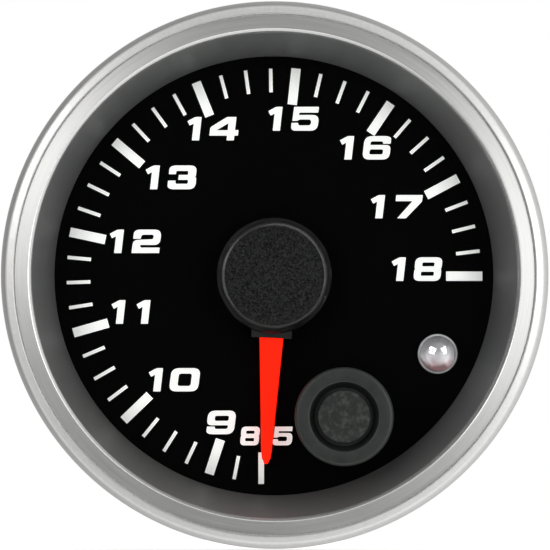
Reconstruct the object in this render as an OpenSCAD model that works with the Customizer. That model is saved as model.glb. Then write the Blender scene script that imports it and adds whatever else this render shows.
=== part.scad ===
// Air fuel ratio gauge for a 52 mm panel hole, as an assembly of separate pieces.
// Millimetres. +Z is up and the face looks towards -Y. The origin is on the axis of the case,
// in the plane where the bezel meets the panel. Dial angles run clockwise from straight up.

/* [Case] */
// Outer diameter of the case, which passes through the panel hole
case_d = 52; // [51:0.5:60]
// Depth of the case behind the panel seat
case_depth = 32; // [31:0.5:40]
// Wall of the case
case_wall = 1.35; // [1.2:0.05:1.6]
// Thickness of the back of the case
case_back = 2; // [1.6:0.1:2.6]
// Chamfer round the back edge of the case
back_chamfer = 0.8; // [0.4:0.1:1.2]
// Depth of the relief groove next to the mouth of the case
relief_depth = 0.2; // [0.1:0.05:0.3]
// Width of the relief groove behind the panel seat
relief_w = 0.4; // [0.2:0.1:0.8]
// Number of ribs inside the case
rib_count = 8; // [6:1:10]
// Width of a rib
rib_w = 1.2; // [1:0.1:1.6]
// How far a rib stands in from the wall
rib_in = 1.2; // [1:0.1:1.3]
// Width of the key that stops the dial from turning
key_w = 2; // [1.5:0.1:3]
// How far the key stands in from the wall
key_in = 0.45; // [0.3:0.05:0.5]

/* [Bezel] */
// How far the bezel stands out past the case, over the panel
seat_w = 4; // [3.5:0.1:5]
// Height of the bezel in front of the panel
bezel_h = 9; // [8.5:0.5:12]
// Width of the whole rim, from its edge to the view opening
rim_w = 3.35; // [3:0.05:3.8]
// Radius of the polished bead along the edge
bead_r = 0.72; // [0.6:0.02:0.8]
// How far the bead stands above the brushed face
bead_rise = 0.35; // [0.2:0.05:0.45]
// Width of the groove between the bead and the brushed face
groove_w = 0.14; // [0.1:0.02:0.3]
// Depth of that groove below the brushed face
groove_depth = 0.3; // [0.15:0.05:0.35]
// Thickness of the lip in front of the lens
lip_t = 0.9; // [0.8:0.05:1.2]
// Width of the chamfer at the view opening
chamfer_w = 0.38; // [0.2:0.02:0.6]
// Thickness of the edge that is swaged behind the mouth of the case
swage_t = 0.6; // [0.5:0.05:0.9]
// Chamfer at the rear edge of the bezel
bezel_edge = 0.3; // [0.2:0.05:0.6]

/* [Lens and trim ring] */
// Thickness of the lens
lens_t = 1.5; // [1.2:0.1:2]
// How far the lens reaches in under the lip
lens_hold = 0.95; // [0.8:0.05:1.1]
// Thickness of the gasket behind the lens
gasket_t = 0.5; // [0.4:0.05:0.8]
// How far the gasket stays back from the view opening
gasket_back = 0.12; // [0.05:0.01:0.2]
// Thickness of the trim ring's flange
ring_flange_t = 0.6; // [0.5:0.05:0.8]
// Depth of the trim ring, from its front to the dial
ring_depth = 4; // [3.8:0.1:5]
// Wall of the trim ring
ring_wall = 0.6; // [0.5:0.05:0.7]

/* [Dial] */
// Thickness of the dial plate
dial_t = 0.6; // [0.5:0.05:1]
// How much of the dial's edge lies under the trim ring
dial_hidden = 0.37; // [0.3:0.01:0.5]
// Thickness of the printed scale
print_t = 0.04; // [0.03:0.01:0.08]
// Distance from the trim ring to the marks
mark_gap = 1.19; // [0.8:0.01:2]
// Length of a mark at a whole number
major_len = 3.99; // [3:0.01:5]
// Width of a mark at a whole number
major_w = 1.03; // [0.8:0.01:1.2]
// Length of a mark between the whole numbers
minor_len = 2.6; // [2:0.05:3]
// Width of a mark between the whole numbers
minor_w = 0.38; // [0.3:0.01:0.5]
// How much further in the small marks end, at their outer end
minor_gap = 0.14; // [0:0.01:0.4]
// Length of the first mark, at the low end of the scale
first_len = 3.46; // [3:0.01:4]
// Width of the first mark
first_w = 0.62; // [0.4:0.01:0.8]
// Angle of the first mark
first_a = 183.5; // [183:0.1:184]
// Highest number on the scale
scale_top = 18; // [18:1:18]
// Lowest whole number on the scale
scale_low = 9; // [9:1:12]
// Angle of the highest number
scale_top_a = 90.1; // [88:0.1:92]
// Angle between two whole numbers
scale_step_a = 28; // [27.5:0.1:28]
// Small marks between two whole numbers
minor_count = 3; // [1:1:4]

/* [Pointer] */
// Angle at which the pointer rests
pointer_rest_a = 182.5; // [181:0.1:183]
// Distance from the trim ring to the pointer's tip
tip_gap = 3.4; // [2:0.05:5]
// Width of the pointer where it leaves its holder
needle_w = 2.63; // [2:0.01:3]
// Width of the pointer near its tip
needle_tip_w = 1.18; // [0.9:0.01:1.4]
// Length of the rounded point
needle_point_len = 1.5; // [1.2:0.05:2]
// Radius at the end of the point
needle_end_r = 0.3; // [0.2:0.01:0.4]
// Thickness of the pointer
needle_t = 0.7; // [0.5:0.05:0.9]
// How far the pointer's root reaches into the hub, from the axis
needle_root_r = 3.4; // [3:0.1:4]
// Diameter of the hub cap
cap_d = 12.8; // [11.5:0.1:14]
// Radius of the hub cap's shoulder
cap_shoulder = 0.9; // [0.6:0.05:1.1]
// Wall of the hub cap
cap_wall = 0.6; // [0.5:0.05:0.7]
// Gap between the hub cap and the lens
cap_gap = 0.6; // [0.4:0.05:0.8]
// Gap between the hub and the dial
hub_gap = 0.6; // [0.5:0.05:0.8]
// Height of the hub under the cap
hub_h = 2.3; // [2.2:0.05:2.5]
// Width of the holder that grips the pointer
holder_w = 4.4; // [4:0.05:5]
// How far the holder stands out past the cap
holder_len = 0.45; // [0.3:0.05:0.8]
// Diameter of the balance weights in the hub
balance_d = 1.7; // [1.4:0.1:1.8]
// Distance of the balance weights from the axis
balance_at = 3.4; // [3.2:0.1:3.6]
// Diameter of the pointer shaft
shaft_d = 1.5; // [1.2:0.1:1.7]

/* [Push button] */
// Angle of the button on the dial
button_a = 153.9; // [150:0.1:158]
// Distance from the trim ring to the button's axis
button_inset = 6.83; // [6.5:0.01:8]
// Diameter of the grommet's flange on the lens
grommet_d = 10.86; // [10.4:0.02:12]
// Thickness of that flange
grommet_t = 0.9; // [0.8:0.05:1.1]
// Wall of the grommet's neck in the lens
neck_wall = 0.59; // [0.5:0.01:0.7]
// How far the rear lip of the grommet reaches past the neck
neck_lip = 0.5; // [0.3:0.05:0.6]
// Thickness of the rear lip
neck_lip_t = 0.7; // [0.5:0.05:0.8]
// Diameter of the well round the button
well_d = 7.62; // [7.4:0.02:7.8]
// Thickness of the web that guides the button
web_t = 1.4; // [1.2:0.05:1.6]
// Diameter of the button
button_d = 5.74; // [5:0.02:6]
// Thickness of the button's cap
button_t = 0.9; // [0.8:0.05:1]
// How far the button stands out past the flange
button_proud = 0.25; // [0.1:0.05:0.3]
// Diameter of the button's stem
stem_d = 2.8; // [2.4:0.1:3]
// How far the stem's collar reaches past the stem
collar_out = 0.7; // [0.5:0.05:0.9]
// Thickness of the stem's collar
collar_t = 0.5; // [0.4:0.05:0.7]
// Travel of the button
button_travel = 0.5; // [0.3:0.05:0.5]
// Width of the switch under the button
switch_w = 6; // [5.6:0.1:6.4]
// Gap between the switch and the dial
switch_gap = 0.4; // [0.3:0.05:0.6]
// Diameter of the switch's plunger
plunger_d = 3.2; // [2.8:0.1:3.4]

/* [Warning lamp] */
// Angle of the lamp on the dial
lamp_a = 115.5; // [112:0.1:118]
// Distance from the trim ring to the lamp's axis
lamp_inset = 4.18; // [3.8:0.01:6]
// Diameter of the lamp's clear body
lamp_d = 4.34; // [4:0.02:4.8]
// How far the straight part of the lamp stands above the dial
lamp_proud = 0.6; // [0.4:0.05:1]
// How far the lamp's foot reaches past its body
lamp_foot = 0.5; // [0.3:0.05:0.7]
// Thickness of the lamp's foot
lamp_foot_t = 1; // [0.8:0.05:1.2]
// Distance between the lamp's two leads
lead_gap = 2.54; // [2.4:0.02:2.6]
// Thickness of a lead
lamp_lead = 0.5; // [0.4:0.05:0.6]

/* [Boards] */
// Thickness of both circuit boards
board_t = 1.6; // [1.2:0.1:1.8]
// Thickness of the light guide behind the dial
guide_t = 1.2; // [1:0.05:1.5]
// Room for the small lamps between light guide and board
led_room = 1.6; // [1.4:0.05:2]
// Width of the rim on which the light guide stands
guide_rim = 1; // [0.8:0.05:1.4]
// Number of small lamps behind the dial
led_count = 6; // [4:1:6]
// Distance of the small lamps from the axis, as a share of the board's radius
led_share = 0.45; // [0.43:0.01:0.47]
// Length of a small lamp
led_l = 1.6; // [1.2:0.1:2]
// Width of a small lamp
led_w = 0.9; // [0.7:0.1:1.2]
// Height of a small lamp
led_h = 0.8; // [0.6:0.05:1]
// Height of the posts that carry the main board, as a share of the room behind the movement
boss_share = 0.66; // [0.6:0.01:0.68]
// Diameter of those posts
boss_d = 5.2; // [4.8:0.1:5.6]
// Diameter of the board screws
screw_d = 2.2; // [2:0.1:2.5]
// How deep the board screws reach into the posts, as a share of the posts' height
screw_share = 0.64; // [0.5:0.01:0.7]
// Diameter of a screw's head
screw_head_d = 4.4; // [4:0.1:4.8]
// Height of a screw's head
screw_head_t = 1.4; // [1.2:0.1:1.6]
// Distance between the pins that link the boards
link_pitch = 2.54; // [2.4:0.02:2.6]
// Rows of pins that link the boards
link_rows = 5; // [3:1:5]
// Thickness of a link pin
link_pin = 0.64; // [0.5:0.02:0.7]
// Thickness of the plastic strips that hold the link pins
link_strip_t = 2.5; // [2:0.1:2.8]
// Width of the control chip
chip_w = 9; // [8:0.1:10]
// Height of the control chip
chip_h = 1.4; // [1.2:0.1:1.6]
// Leads on each side of the control chip
chip_leads = 8; // [6:1:8]
// Diameter of the capacitor
can_d = 6.3; // [5.5:0.1:6.6]
// Height of the capacitor, as a share of the posts' height
can_share = 0.66; // [0.5:0.01:0.7]
// Width of the voltage regulator
reg_w = 6.5; // [6:0.1:6.8]
// Height of the voltage regulator
reg_h = 2.3; // [2:0.1:2.6]

/* [Wiring socket] */
// Width of the socket's shell
socket_w = 18.4; // [18:0.1:18.8]
// Height of the socket's shell
socket_h = 9.6; // [9.2:0.1:10]
// Wall of the shell
socket_wall = 1.1; // [1:0.05:1.3]
// How far the shell stands out past the back of the case
socket_out = 1; // [0.5:0.1:2]
// Depth of the socket, as a share of the shell's length
socket_share = 0.69; // [0.66:0.01:0.72]
// How far the pins end below the mouth of the socket
pin_back = 4.6; // [4.5:0.1:5]
// Pins in a row
pin_cols = 4; // [2:1:4]
// Distance between two pins
pin_pitch = 3.5; // [3.2:0.05:3.8]
// Thickness of a pin
pin_w = 1; // [0.8:0.05:1.1]
// Width of the notch for the plug's latch
latch_w = 4; // [3:0.1:5]
// Depth of that notch
latch_depth = 3; // [2:0.1:3.5]

/* [Mounting hardware] */
// Diameter of the mounting studs
stud_d = 4; // [3.5:0.1:4.5]
// Distance from the side of the case to a stud's axis
stud_inset = 9; // [8.5:0.1:9.5]
// How far a stud stands out past the case
stud_out = 16; // [15:0.5:20]
// Diameter of a stud's head inside the case
stud_head_d = 7.2; // [6.5:0.1:7.4]
// Thickness of that head
stud_head_t = 1.4; // [1.2:0.1:1.8]
// Width across the flats of the nuts that hold the studs
nut_flats = 7; // [6.8:0.1:7.4]
// Thickness of those nuts
nut_t = 3.2; // [2.8:0.1:3.5]
// Width of the bracket's strip
strip_w = 14; // [13:0.5:16]
// Thickness of the bracket's strip
strip_t = 1.5; // [1.2:0.1:2]
// Clearance between the case and a leg of the bracket
leg_gap = 1.6; // [1.4:0.1:2]
// Thickness of the panel that bezel and bracket clamp
panel_t = 3; // [2.5:0.1:5]
// Gap between the back of the case and the bar of the bracket
bar_gap = 5.5; // [5:0.1:7]
// Inner radius of the bracket's bends
bend_r = 1.5; // [1:0.1:2.5]
// Width of a leg at its foot
foot_w = 9; // [8:0.5:11]
// How much longer than wide the stud holes of the bracket are
slot_extra = 2; // [1:0.1:3]
// Thickness of the spring washers
washer_t = 0.9; // [0.7:0.05:1.1]
// Width of a spring washer's ring
washer_w = 1.7; // [1.4:0.1:2]
// Diameter of a thumb nut
thumb_d = 10; // [9:0.1:11]
// Height of a thumb nut's knurled part
thumb_h = 5; // [4.5:0.1:6]
// Height of a thumb nut's plain collar
thumb_collar_h = 1.4; // [1:0.1:1.6]
// Ridges round a thumb nut
thumb_ridges = 30; // [24:1:36]

/* [Movement] */
// Gap between the rotor's magnet and the floor of the housing
floor_gap = 1.1; // [1:0.05:1.4]
// Thickness of the housing's cover and floor
mv_plate = 0.9; // [0.8:0.05:1]
// Wall of the housing
mv_wall = 1; // [0.9:0.05:1.1]
// Angle of the motor end of the movement, on the dial
mv_a = 0; // [0:1:4]
// Teeth of the wheel on the pointer shaft
out_teeth = 120; // [110:2:120]
// Teeth of the pinion that drives it
mid_leaves = 8; // [8:1:9]
// Module of that pair, as a share of the distance from shaft to rotor
out_module_share = 0.0123; // [0.012:0.0001:0.0124]
// Teeth of the wheel on the middle spindle
mid_teeth = 96; // [90:2:96]
// Teeth of the pinion on the rotor
rotor_leaves = 8; // [8:1:9]
// Module of that pair, as a share of the same distance
mid_module_share = 0.01; // [0.0097:0.0001:0.0101]
// Thickness of the wheel on the pointer shaft
out_wheel_t = 1; // [0.8:0.05:1.1]
// Thickness of the wheel on the middle spindle
mid_wheel_t = 0.9; // [0.7:0.05:1]
// Gap along the axis between parts that turn
run_gap = 0.4; // [0.35:0.01:0.45]
// Diameter of the middle and rotor spindles, as a share of the distance from shaft to rotor
spindle_share = 0.053; // [0.05:0.001:0.055]
// Diameter of the rotor's magnet, as a share of that distance
magnet_share = 0.507; // [0.48:0.001:0.51]
// Height of the rotor's magnet
magnet_h = 4; // [3.6:0.1:4.2]
// Distance from the pointer shaft to the rotor, as a share of the room between the ribs
rotor_share = 0.555; // [0.55:0.001:0.56]
// Gap between the magnet and the stator
air_gap = 0.35; // [0.3:0.05:0.5]
// Width of the stator's ring round the magnet, as a share of the distance from shaft to rotor
stator_ring_share = 0.115; // [0.1:0.001:0.12]
// Thickness of the stator
stator_t = 0.8; // [0.7:0.05:1]
// Width of the stator's bars, as a share of the same distance
stator_bar_share = 0.138; // [0.12:0.001:0.14]
// Distance of each coil from the middle of the movement, as a share of the same distance
coil_side_share = 0.69; // [0.68:0.001:0.7]
// Diameter of the coils, as a share of the same distance
coil_share = 0.338; // [0.32:0.001:0.342]
// Diameter of the coil formers' tubes, as a share of the coils' diameter
former_share = 0.64; // [0.6:0.01:0.68]
// Thickness of the coil formers' end plates
former_end = 1; // [0.9:0.05:1.2]
// Diameter of the movement's four terminals
terminal_d = 0.5; // [0.4:0.05:0.6]
// Diameter of the sleeve in which the pointer shaft turns
sleeve_d = 2.9; // [2.6:0.1:3]

/* [Fits] */
// Radial clearance of a shaft that turns or slides in its bearing
run_fit = 0.03; // [0.02:0.01:0.05]
// Radial clearance of a piece that is pressed on or in
press_fit = 0.01; // [0.005:0.005:0.02]
// Clearance of a piece that is laid in its seat
seat_fit = 0.15; // [0.1:0.01:0.2]
// Clearance of a hole round something that passes through it
pass_fit = 0.3; // [0.2:0.05:0.4]
// Share of a tooth's width that is left free as play
tooth_play_share = 0.1; // [0.08:0.01:0.14]

/* [Hidden] */
$fn = 96;

// How far a cutting shape runs past what it cuts, and how far joined shapes run into each other
over = case_back / 4;

// Radii and levels along Y, from the front of the bezel to the back of the studs
case_r = case_d / 2;
bore_r = case_r - case_wall;
bezel_r = case_r + seat_w;
view_r = bezel_r - rim_w;
lens_r = view_r + lens_hold;
cavity_r = lens_r + seat_fit;
dial_r = bore_r - seat_fit;
dial_view_r = dial_r - dial_hidden;
rib_r = bore_r - rib_in;
main_r = rib_r - seat_fit;
y_crest = -bezel_h;
y_face = y_crest + bead_rise;
y_lens = y_face + lip_t;
y_gasket = y_lens + lens_t;
y_ring = y_gasket + gasket_t;
y_mouth = y_ring + ring_flange_t;
y_dial = y_ring + ring_depth;
y_guide = y_dial + dial_t;
y_under = y_guide + guide_t;
y_board = y_under + led_room;
y_shelf = y_board + board_t;
y_back = case_depth - case_back;
y_bar = case_depth + bar_gap;
y_washer = y_bar + strip_t;
y_thumb = y_washer + washer_t;
y_knurl = y_thumb + thumb_collar_h;
y_stud_end = case_depth + stud_out;

// Pointer levels and radii
cap_r = cap_d / 2;
shaft_r = shaft_d / 2;
y_hub = y_dial - hub_gap;
y_hub_front = y_hub - hub_h;
y_cap = y_gasket + cap_gap;
y_cap_in = y_cap + cap_wall;
hub_r = cap_r - cap_wall - seat_fit;
spigot_r = hub_r / 2;
y_needle = y_hub - needle_t;
holder_h = needle_t * 2.4;
y_holder = y_needle + (holder_h - needle_t) / 2;
holder_reach = cap_r + holder_len;
tip_reach = dial_view_r - tip_gap;

// Button levels and place
button_at = dial_view_r - button_inset;
button_x = button_at * sin(button_a);
button_z = button_at * cos(button_a);
stem_r = stem_d / 2;
well_r = well_d / 2;
neck_r = well_r + neck_wall;
y_grommet = y_lens - grommet_t;
y_grommet_rear = y_gasket + neck_lip_t;
y_web = y_grommet_rear - web_t;
y_button = y_grommet - button_proud;
y_button_rear = y_button + button_t;
y_collar = y_grommet_rear + pass_fit;
y_switch = y_guide + switch_gap;
y_stem_rear = y_dial - hub_gap;
plunger_r = plunger_d / 2;
plunger_in = button_travel + pass_fit;
y_plunger_rear = y_switch + plunger_in;
y_plunger_hole = y_plunger_rear + plunger_in;

// Warning lamp
lamp_at = dial_view_r - lamp_inset;
lamp_x = lamp_at * sin(lamp_a);
lamp_z = lamp_at * cos(lamp_a);
lamp_r = lamp_d / 2;
y_lamp = y_dial - lamp_proud;
y_lead_top = y_guide;
y_lead_end = y_shelf + lamp_lead * 2;

// Movement sizes, all from the room between the ribs
rotor_at = rib_r * rotor_share;
out_module = rotor_at * out_module_share;
mid_module = rotor_at * mid_module_share;
spindle_r = rotor_at * spindle_share / 2;
magnet_r = rotor_at * magnet_share / 2;
stator_ring_w = rotor_at * stator_ring_share;
stator_bar = rotor_at * stator_bar_share;
coil_d = rotor_at * coil_share;
former_d = coil_d * former_share;

// Movement levels: cover, output wheel, middle wheel, magnet and floor
y_mv = y_shelf;
y_mv_in = y_mv + mv_plate;
y_out_wheel = y_mv_in + run_gap;
y_out_rear = y_out_wheel + out_wheel_t;
y_mid_wheel = y_out_rear + run_gap;
y_mid_rear = y_mid_wheel + mid_wheel_t;
y_magnet = y_mid_rear + run_gap;
y_magnet_rear = y_magnet + magnet_h;
y_floor = y_magnet_rear + floor_gap;
y_mv_rear = y_floor + mv_plate;
y_stator = (y_magnet + y_magnet_rear) / 2 - stator_t / 2 + stator_t / 4;
y_coil = y_stator + stator_t / 2;
stator_peg_r = stator_bar / 4;
bearing_depth = mv_plate * 2 / 3;
post_r = spindle_r + mv_wall / 2;

// Axes of the movement, with the motor end turned to mv_a. The middle spindle lies where both
// pairs of wheels have their centre distance.
distance_share = 0.1;
out_distance = out_module * ((out_teeth + mid_leaves) / 2 + distance_share);
mid_distance = mid_module * ((mid_teeth + rotor_leaves) / 2 + distance_share);
mid_along = (out_distance ^ 2 - mid_distance ^ 2 + rotor_at ^ 2) / (2 * rotor_at);
mid_across = -sqrt(out_distance ^ 2 - mid_along ^ 2);
mid_xz = [mid_across, mid_along];
rotor_xz = [0, rotor_at];
coil_at = max(rotor_at * coil_side_share, coil_d / 2 + post_r + run_gap - mid_across);
stator_top = rotor_at + magnet_r + air_gap + stator_ring_w;
stator_low = stator_bar * 1.5;
core_low = stator_low + stator_bar;
core_high = rotor_at + stator_bar * 1.4;
mv_round_r = out_module * out_teeth / 2 + mv_wall + run_gap + out_module;
mid_reach = mid_module * (mid_teeth / 2 + 1) - mid_across;
mv_half_w = max(coil_at + coil_d / 2, mid_reach) + mv_wall + run_gap;
mv_top = stator_top + mv_wall + run_gap / 2;
mv_corner_r = mv_wall * 3;

// Main board: levels, and places of what it carries
boss_h = (y_back - y_mv_rear - board_t) * boss_share;
y_main_rear = y_back - boss_h;
y_main = y_main_rear - board_t;
y_screw = y_main_rear + boss_h * screw_share;
can_h = boss_h * can_share;
boss_at = main_r - boss_d * 0.9;
boss_angles = [0, 120, 240];
link_x = -(mv_half_w + seat_fit + link_pitch * 1.2);
link_z = link_pitch;
socket_z = -(main_r - socket_h * 0.85);
y_socket = case_depth + socket_out;
y_pin_tip = y_socket - pin_back;
chip_xz = [chip_w / 2, chip_w / 3];
can_xz = [-can_d * 1.25, can_d * 1.5];
reg_xz = [reg_w * 1.3, reg_w * 1.3];

// Mounting hardware
stud_x = case_r - stud_inset;
stud_r = stud_d / 2;
leg_in = case_r + leg_gap;
leg_out = leg_in + strip_t;

// Extrudes an outline drawn in X and Z from level y0 back to level y1
module slab(y0, y1) {
    translate([0, y1, 0])
        rotate([90, 0, 0])
            linear_extrude(y1 - y0)
                children();
}

// Turns an outline, drawn as radius and level, about the axis of the case
module turned() {
    rotate([-90, 0, 0])
        rotate_extrude()
            children();
}

// Moves an outline in the dial plane to an angle and a distance from the axis
module at_dial(a, distance) {
    translate([distance * sin(a), distance * cos(a)])
        children();
}

// Moves a solid to a place in the dial plane
module at_xz(xz) {
    translate([xz[0], 0, xz[1]])
        children();
}

// Turns a solid from straight up to a dial angle
module to_angle(a) {
    rotate([0, a, 0])
        children();
}

// Quarter of a disc, on the outer front side of its centre
module quarter_disc(r) {
    intersection() {
        circle(r);
        translate([0, -r])
            square([r, r]);
    }
}

// Rectangle with round corners, centred
module round_rect(w, h, r) {
    square([w - 2 * r, h], center = true);
    square([w, h - 2 * r], center = true);
    for (sx = [-1, 1], sz = [-1, 1])
        translate([sx * (w / 2 - r), sz * (h / 2 - r)])
            circle(r);
}

// Radius of the trim ring's inner cone at a level
function cone_r(y) = view_r - (y - y_ring) * (view_r - dial_view_r) / ring_depth;

// Dial angle of a number on the scale
function scale_a(n) = scale_top_a + (n - scale_top) * scale_step_a;

// Involute of an angle in degrees
function involute(a) = tan(a) * 180 / PI - a;

pressure_a = 20;
flank_steps = 2;

// Half of the angle that a tooth fills at radius r
function half_tooth(r, teeth, base_r) =
    90 / teeth * (1 - tooth_play_share) + involute(pressure_a) - involute(acos(base_r / r));

// Outline of a toothed wheel with one tooth on +X: head and foot are the tooth's height above
// and below the pitch circle, in modules
module toothed(teeth, tooth_module, head_share, foot_share) {
    pitch_r = tooth_module * teeth / 2;
    base_r = pitch_r * cos(pressure_a);
    tip_r = pitch_r + tooth_module * head_share;
    root_r = pitch_r - tooth_module * foot_share;
    start_r = max(base_r, root_r);
    rise = (tip_r - start_r) / flank_steps;
    right = [for (k = [0:flank_steps]) let (r = start_r + rise * k) [r, -half_tooth(r, teeth, base_r)]];
    left = [for (k = [flank_steps:-1:0]) let (r = start_r + rise * k) [r, half_tooth(r, teeth, base_r)]];
    foot = half_tooth(start_r, teeth, base_r);
    tooth = concat([[root_r, -foot]], root_r < base_r ? right : [for (k = [1:flank_steps]) right[k]],
        root_r < base_r ? left : [for (k = [0:flank_steps - 1]) left[k]], [[root_r, foot]]);
    polygon([for (t = [0:teeth - 1]) for (p = tooth)
        p[0] * [cos(p[1] + t * 360 / teeth), sin(p[1] + t * 360 / teeth)]]);
}

// Outline of the movement's housing, drawn in by the given amount
module mv_outline(inset) {
    circle(mv_round_r - inset);
    translate([0, mv_top / 2])
        round_rect(2 * (mv_half_w - inset), mv_top - 2 * inset, mv_corner_r);
}

// Bezel: turned ring with a polished bead, a brushed face, a chamfered opening, a pocket for
// lens and trim ring, and a rear edge that is swaged behind the mouth of the case
module bezel() {
    groove_r = bezel_r - 2 * bead_r - groove_w;
    y_groove = y_face + groove_depth;
    swage_r = case_r + seat_fit;
    color("silver")
        turned() {
            polygon([
                [view_r, y_lens], [view_r, y_face + chamfer_w], [view_r + chamfer_w, y_face],
                [groove_r, y_face], [groove_r, y_groove], [bezel_r, y_crest + bead_r],
                [bezel_r, -bezel_edge], [bezel_r - bezel_edge, 0], [swage_r, 0],
                [swage_r, -swage_t], [cavity_r, -swage_t], [cavity_r, y_lens]
            ]);
            translate([bezel_r - bead_r, y_crest + bead_r])
                circle(bead_r);
        }
}

// Lens: clear disc under the lip, with a hole for the button's grommet
module lens() {
    color("azure", 0.3)
        slab(y_lens, y_gasket)
            difference() {
                circle(lens_r);
                at_dial(button_a, button_at)
                    circle(neck_r + seat_fit / 3);
            }
}

// Gasket between lens and trim ring
module lens_gasket() {
    color([0.06, 0.06, 0.06])
        slab(y_gasket, y_ring)
            difference() {
                circle(lens_r);
                circle(view_r + gasket_back);
            }
}

// Trim ring: dark cone from the lens down to the dial
module trim_ring() {
    color([0.27, 0.27, 0.28])
        turned()
            polygon([
                [cone_r(y_ring), y_ring], [lens_r, y_ring], [lens_r, y_mouth],
                [cone_r(y_mouth) + ring_wall, y_mouth], [dial_view_r + ring_wall, y_dial],
                [dial_view_r, y_dial]
            ]);
}

// Notch for the key of the case, in what lies behind the trim ring
module key_notch() {
    translate([0, dial_r])
        square([key_w + 2 * seat_fit, 2 * (key_in + seat_fit)], center = true);
}

// Dial: plate with holes for shaft, lamp and button
module dial_plate() {
    color([0.03, 0.03, 0.03])
        slab(y_dial, y_guide)
            difference() {
                circle(dial_r);
                circle(shaft_r * 2);
                key_notch();
                at_dial(lamp_a, lamp_at)
                    circle(lamp_r + seat_fit / 2);
                at_dial(button_a, button_at)
                    circle(plunger_r + pass_fit);
            }
}

// Printed marks of the scale, each a thin layer on the dial
module dial_scale() {
    outer_r = dial_view_r - mark_gap;
    color("white")
        slab(y_dial - print_t, y_dial) {
            for (n = [scale_low:scale_top])
                rotate(-scale_a(n))
                    translate([-major_w / 2, outer_r - major_len])
                        square([major_w, major_len]);
            for (n = [scale_low:scale_top - 1], k = [1:minor_count])
                rotate(-scale_a(n + k / (minor_count + 1)))
                    minor_mark(outer_r);
            rotate(-scale_a(scale_low - 1 / (minor_count + 1)))
                minor_mark(outer_r);
            translate([outer_r * sin(first_a) - first_w / 2, outer_r * cos(first_a)])
                square([first_w, first_len]);
        }
}

// One small mark, straight up
module minor_mark(outer_r) {
    translate([-minor_w / 2, outer_r - minor_gap - minor_len])
        square([minor_w, minor_len]);
}

// Light guide: clear plate behind the dial that stands on a rim
module light_guide() {
    color([0.85, 0.93, 0.98], 0.6)
        difference() {
            union() {
                slab(y_guide, y_under)
                    circle(dial_r);
                slab(y_under - over, y_board)
                    difference() {
                        circle(dial_r);
                        circle(dial_r - guide_rim);
                    }
            }
            slab(y_guide - over, y_board + over) {
                circle(sleeve_d / 2 + pass_fit);
                key_notch();
                at_dial(lamp_a, lamp_at)
                    circle(lamp_r + pass_fit);
                at_dial(button_a, button_at)
                    square(switch_w + 2 * pass_fit, center = true);
            }
        }
}

// Front board, behind the light guide: it carries the lamps, the switch and the movement
module display_board() {
    color("darkgreen")
        slab(y_board, y_shelf)
            difference() {
                circle(dial_r);
                circle(sleeve_d / 2 + pass_fit);
                key_notch();
                for (s = [-1, 1])
                    at_dial(lamp_a, lamp_at)
                        translate([s * lead_gap / 2, 0])
                            circle(lamp_lead * 0.9);
                rotate(-mv_a) {
                    for (x = terminal_x)
                        translate([x, terminal_z])
                            circle(terminal_d / 2 + seat_fit);
                    for (s = [-1, 1])
                        translate([s * peg_x, 0])
                            circle(peg_r + seat_fit / 2);
                }
                link_places()
                    circle(link_pin);
            }
}

terminal_x = [for (s = [-1, 1], k = [0, 1]) s * (coil_at + k * coil_d / 3)];
terminal_z = core_high - former_end / 2;
peg_x = mv_round_r - mv_wall * 2;
peg_r = mv_wall * 0.8;

// Places of the pins that link the two boards
module link_places() {
    for (c = [-0.5, 0.5], k = [0:link_rows - 1])
        translate([link_x + c * link_pitch, link_z + (k - (link_rows - 1) / 2) * link_pitch])
            children();
}

// Small lamps on the front board that light the dial
module backlight_lamps() {
    color("lightyellow")
        slab(y_board - led_h, y_board)
            for (k = [0:led_count - 1])
                rotate(-k * 360 / led_count)
                    translate([0, dial_r * led_share])
                        square([led_l, led_w], center = true);
}

// Warning lamp: clear body with a dome, a foot on the board and room for its leads
module warning_lamp() {
    color([0.95, 0.85, 0.85], 0.6)
        at_xz([lamp_x, lamp_z])
            difference() {
                turned() {
                    polygon([
                        [0, y_lamp], [lamp_r, y_lamp], [lamp_r, y_board - lamp_foot_t],
                        [lamp_r + lamp_foot, y_board - lamp_foot_t], [lamp_r + lamp_foot, y_board],
                        [0, y_board]
                    ]);
                    translate([0, y_lamp])
                        quarter_disc(lamp_r);
                }
                lead_shape(press_fit);
            }
}

// The two leads of the warning lamp, with the cup that holds its light source
module lead_shape(grow) {
    lead = lamp_lead + 2 * grow;
    cup = lead_gap * 0.6 + 2 * grow;
    for (s = [-1, 1])
        slab(y_lead_top - grow, y_lead_end)
            translate([s * lead_gap / 2, 0])
                square(lead, center = true);
    slab(y_lead_top - lamp_lead - grow, y_lead_top + lamp_lead + grow)
        translate([lead_gap / 4, 0])
            square([cup + lamp_lead, cup], center = true);
}

module lamp_leads() {
    color("silver")
        at_xz([lamp_x, lamp_z])
            lead_shape(0);
}

// Switch under the button: housing with a round hole for its plunger and four legs
module switch_body() {
    leg = switch_w / 8;
    color([0.15, 0.15, 0.16])
        at_xz([button_x, button_z]) {
            difference() {
                slab(y_switch, y_board)
                    round_rect(switch_w, switch_w, switch_w / 12);
                slab(y_switch - over, y_plunger_hole)
                    circle(plunger_r + run_fit);
            }
            for (sx = [-1, 1], sz = [-1, 1])
                slab(y_board - leg / 3, y_board)
                    translate([sx * (switch_w / 2 + leg / 4), sz * switch_w / 3])
                        square([leg, leg], center = true);
        }
}

module switch_plunger() {
    color([0.75, 0.75, 0.72])
        at_xz([button_x, button_z])
            slab(y_stem_rear, y_plunger_rear)
                circle(plunger_r);
}

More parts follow.
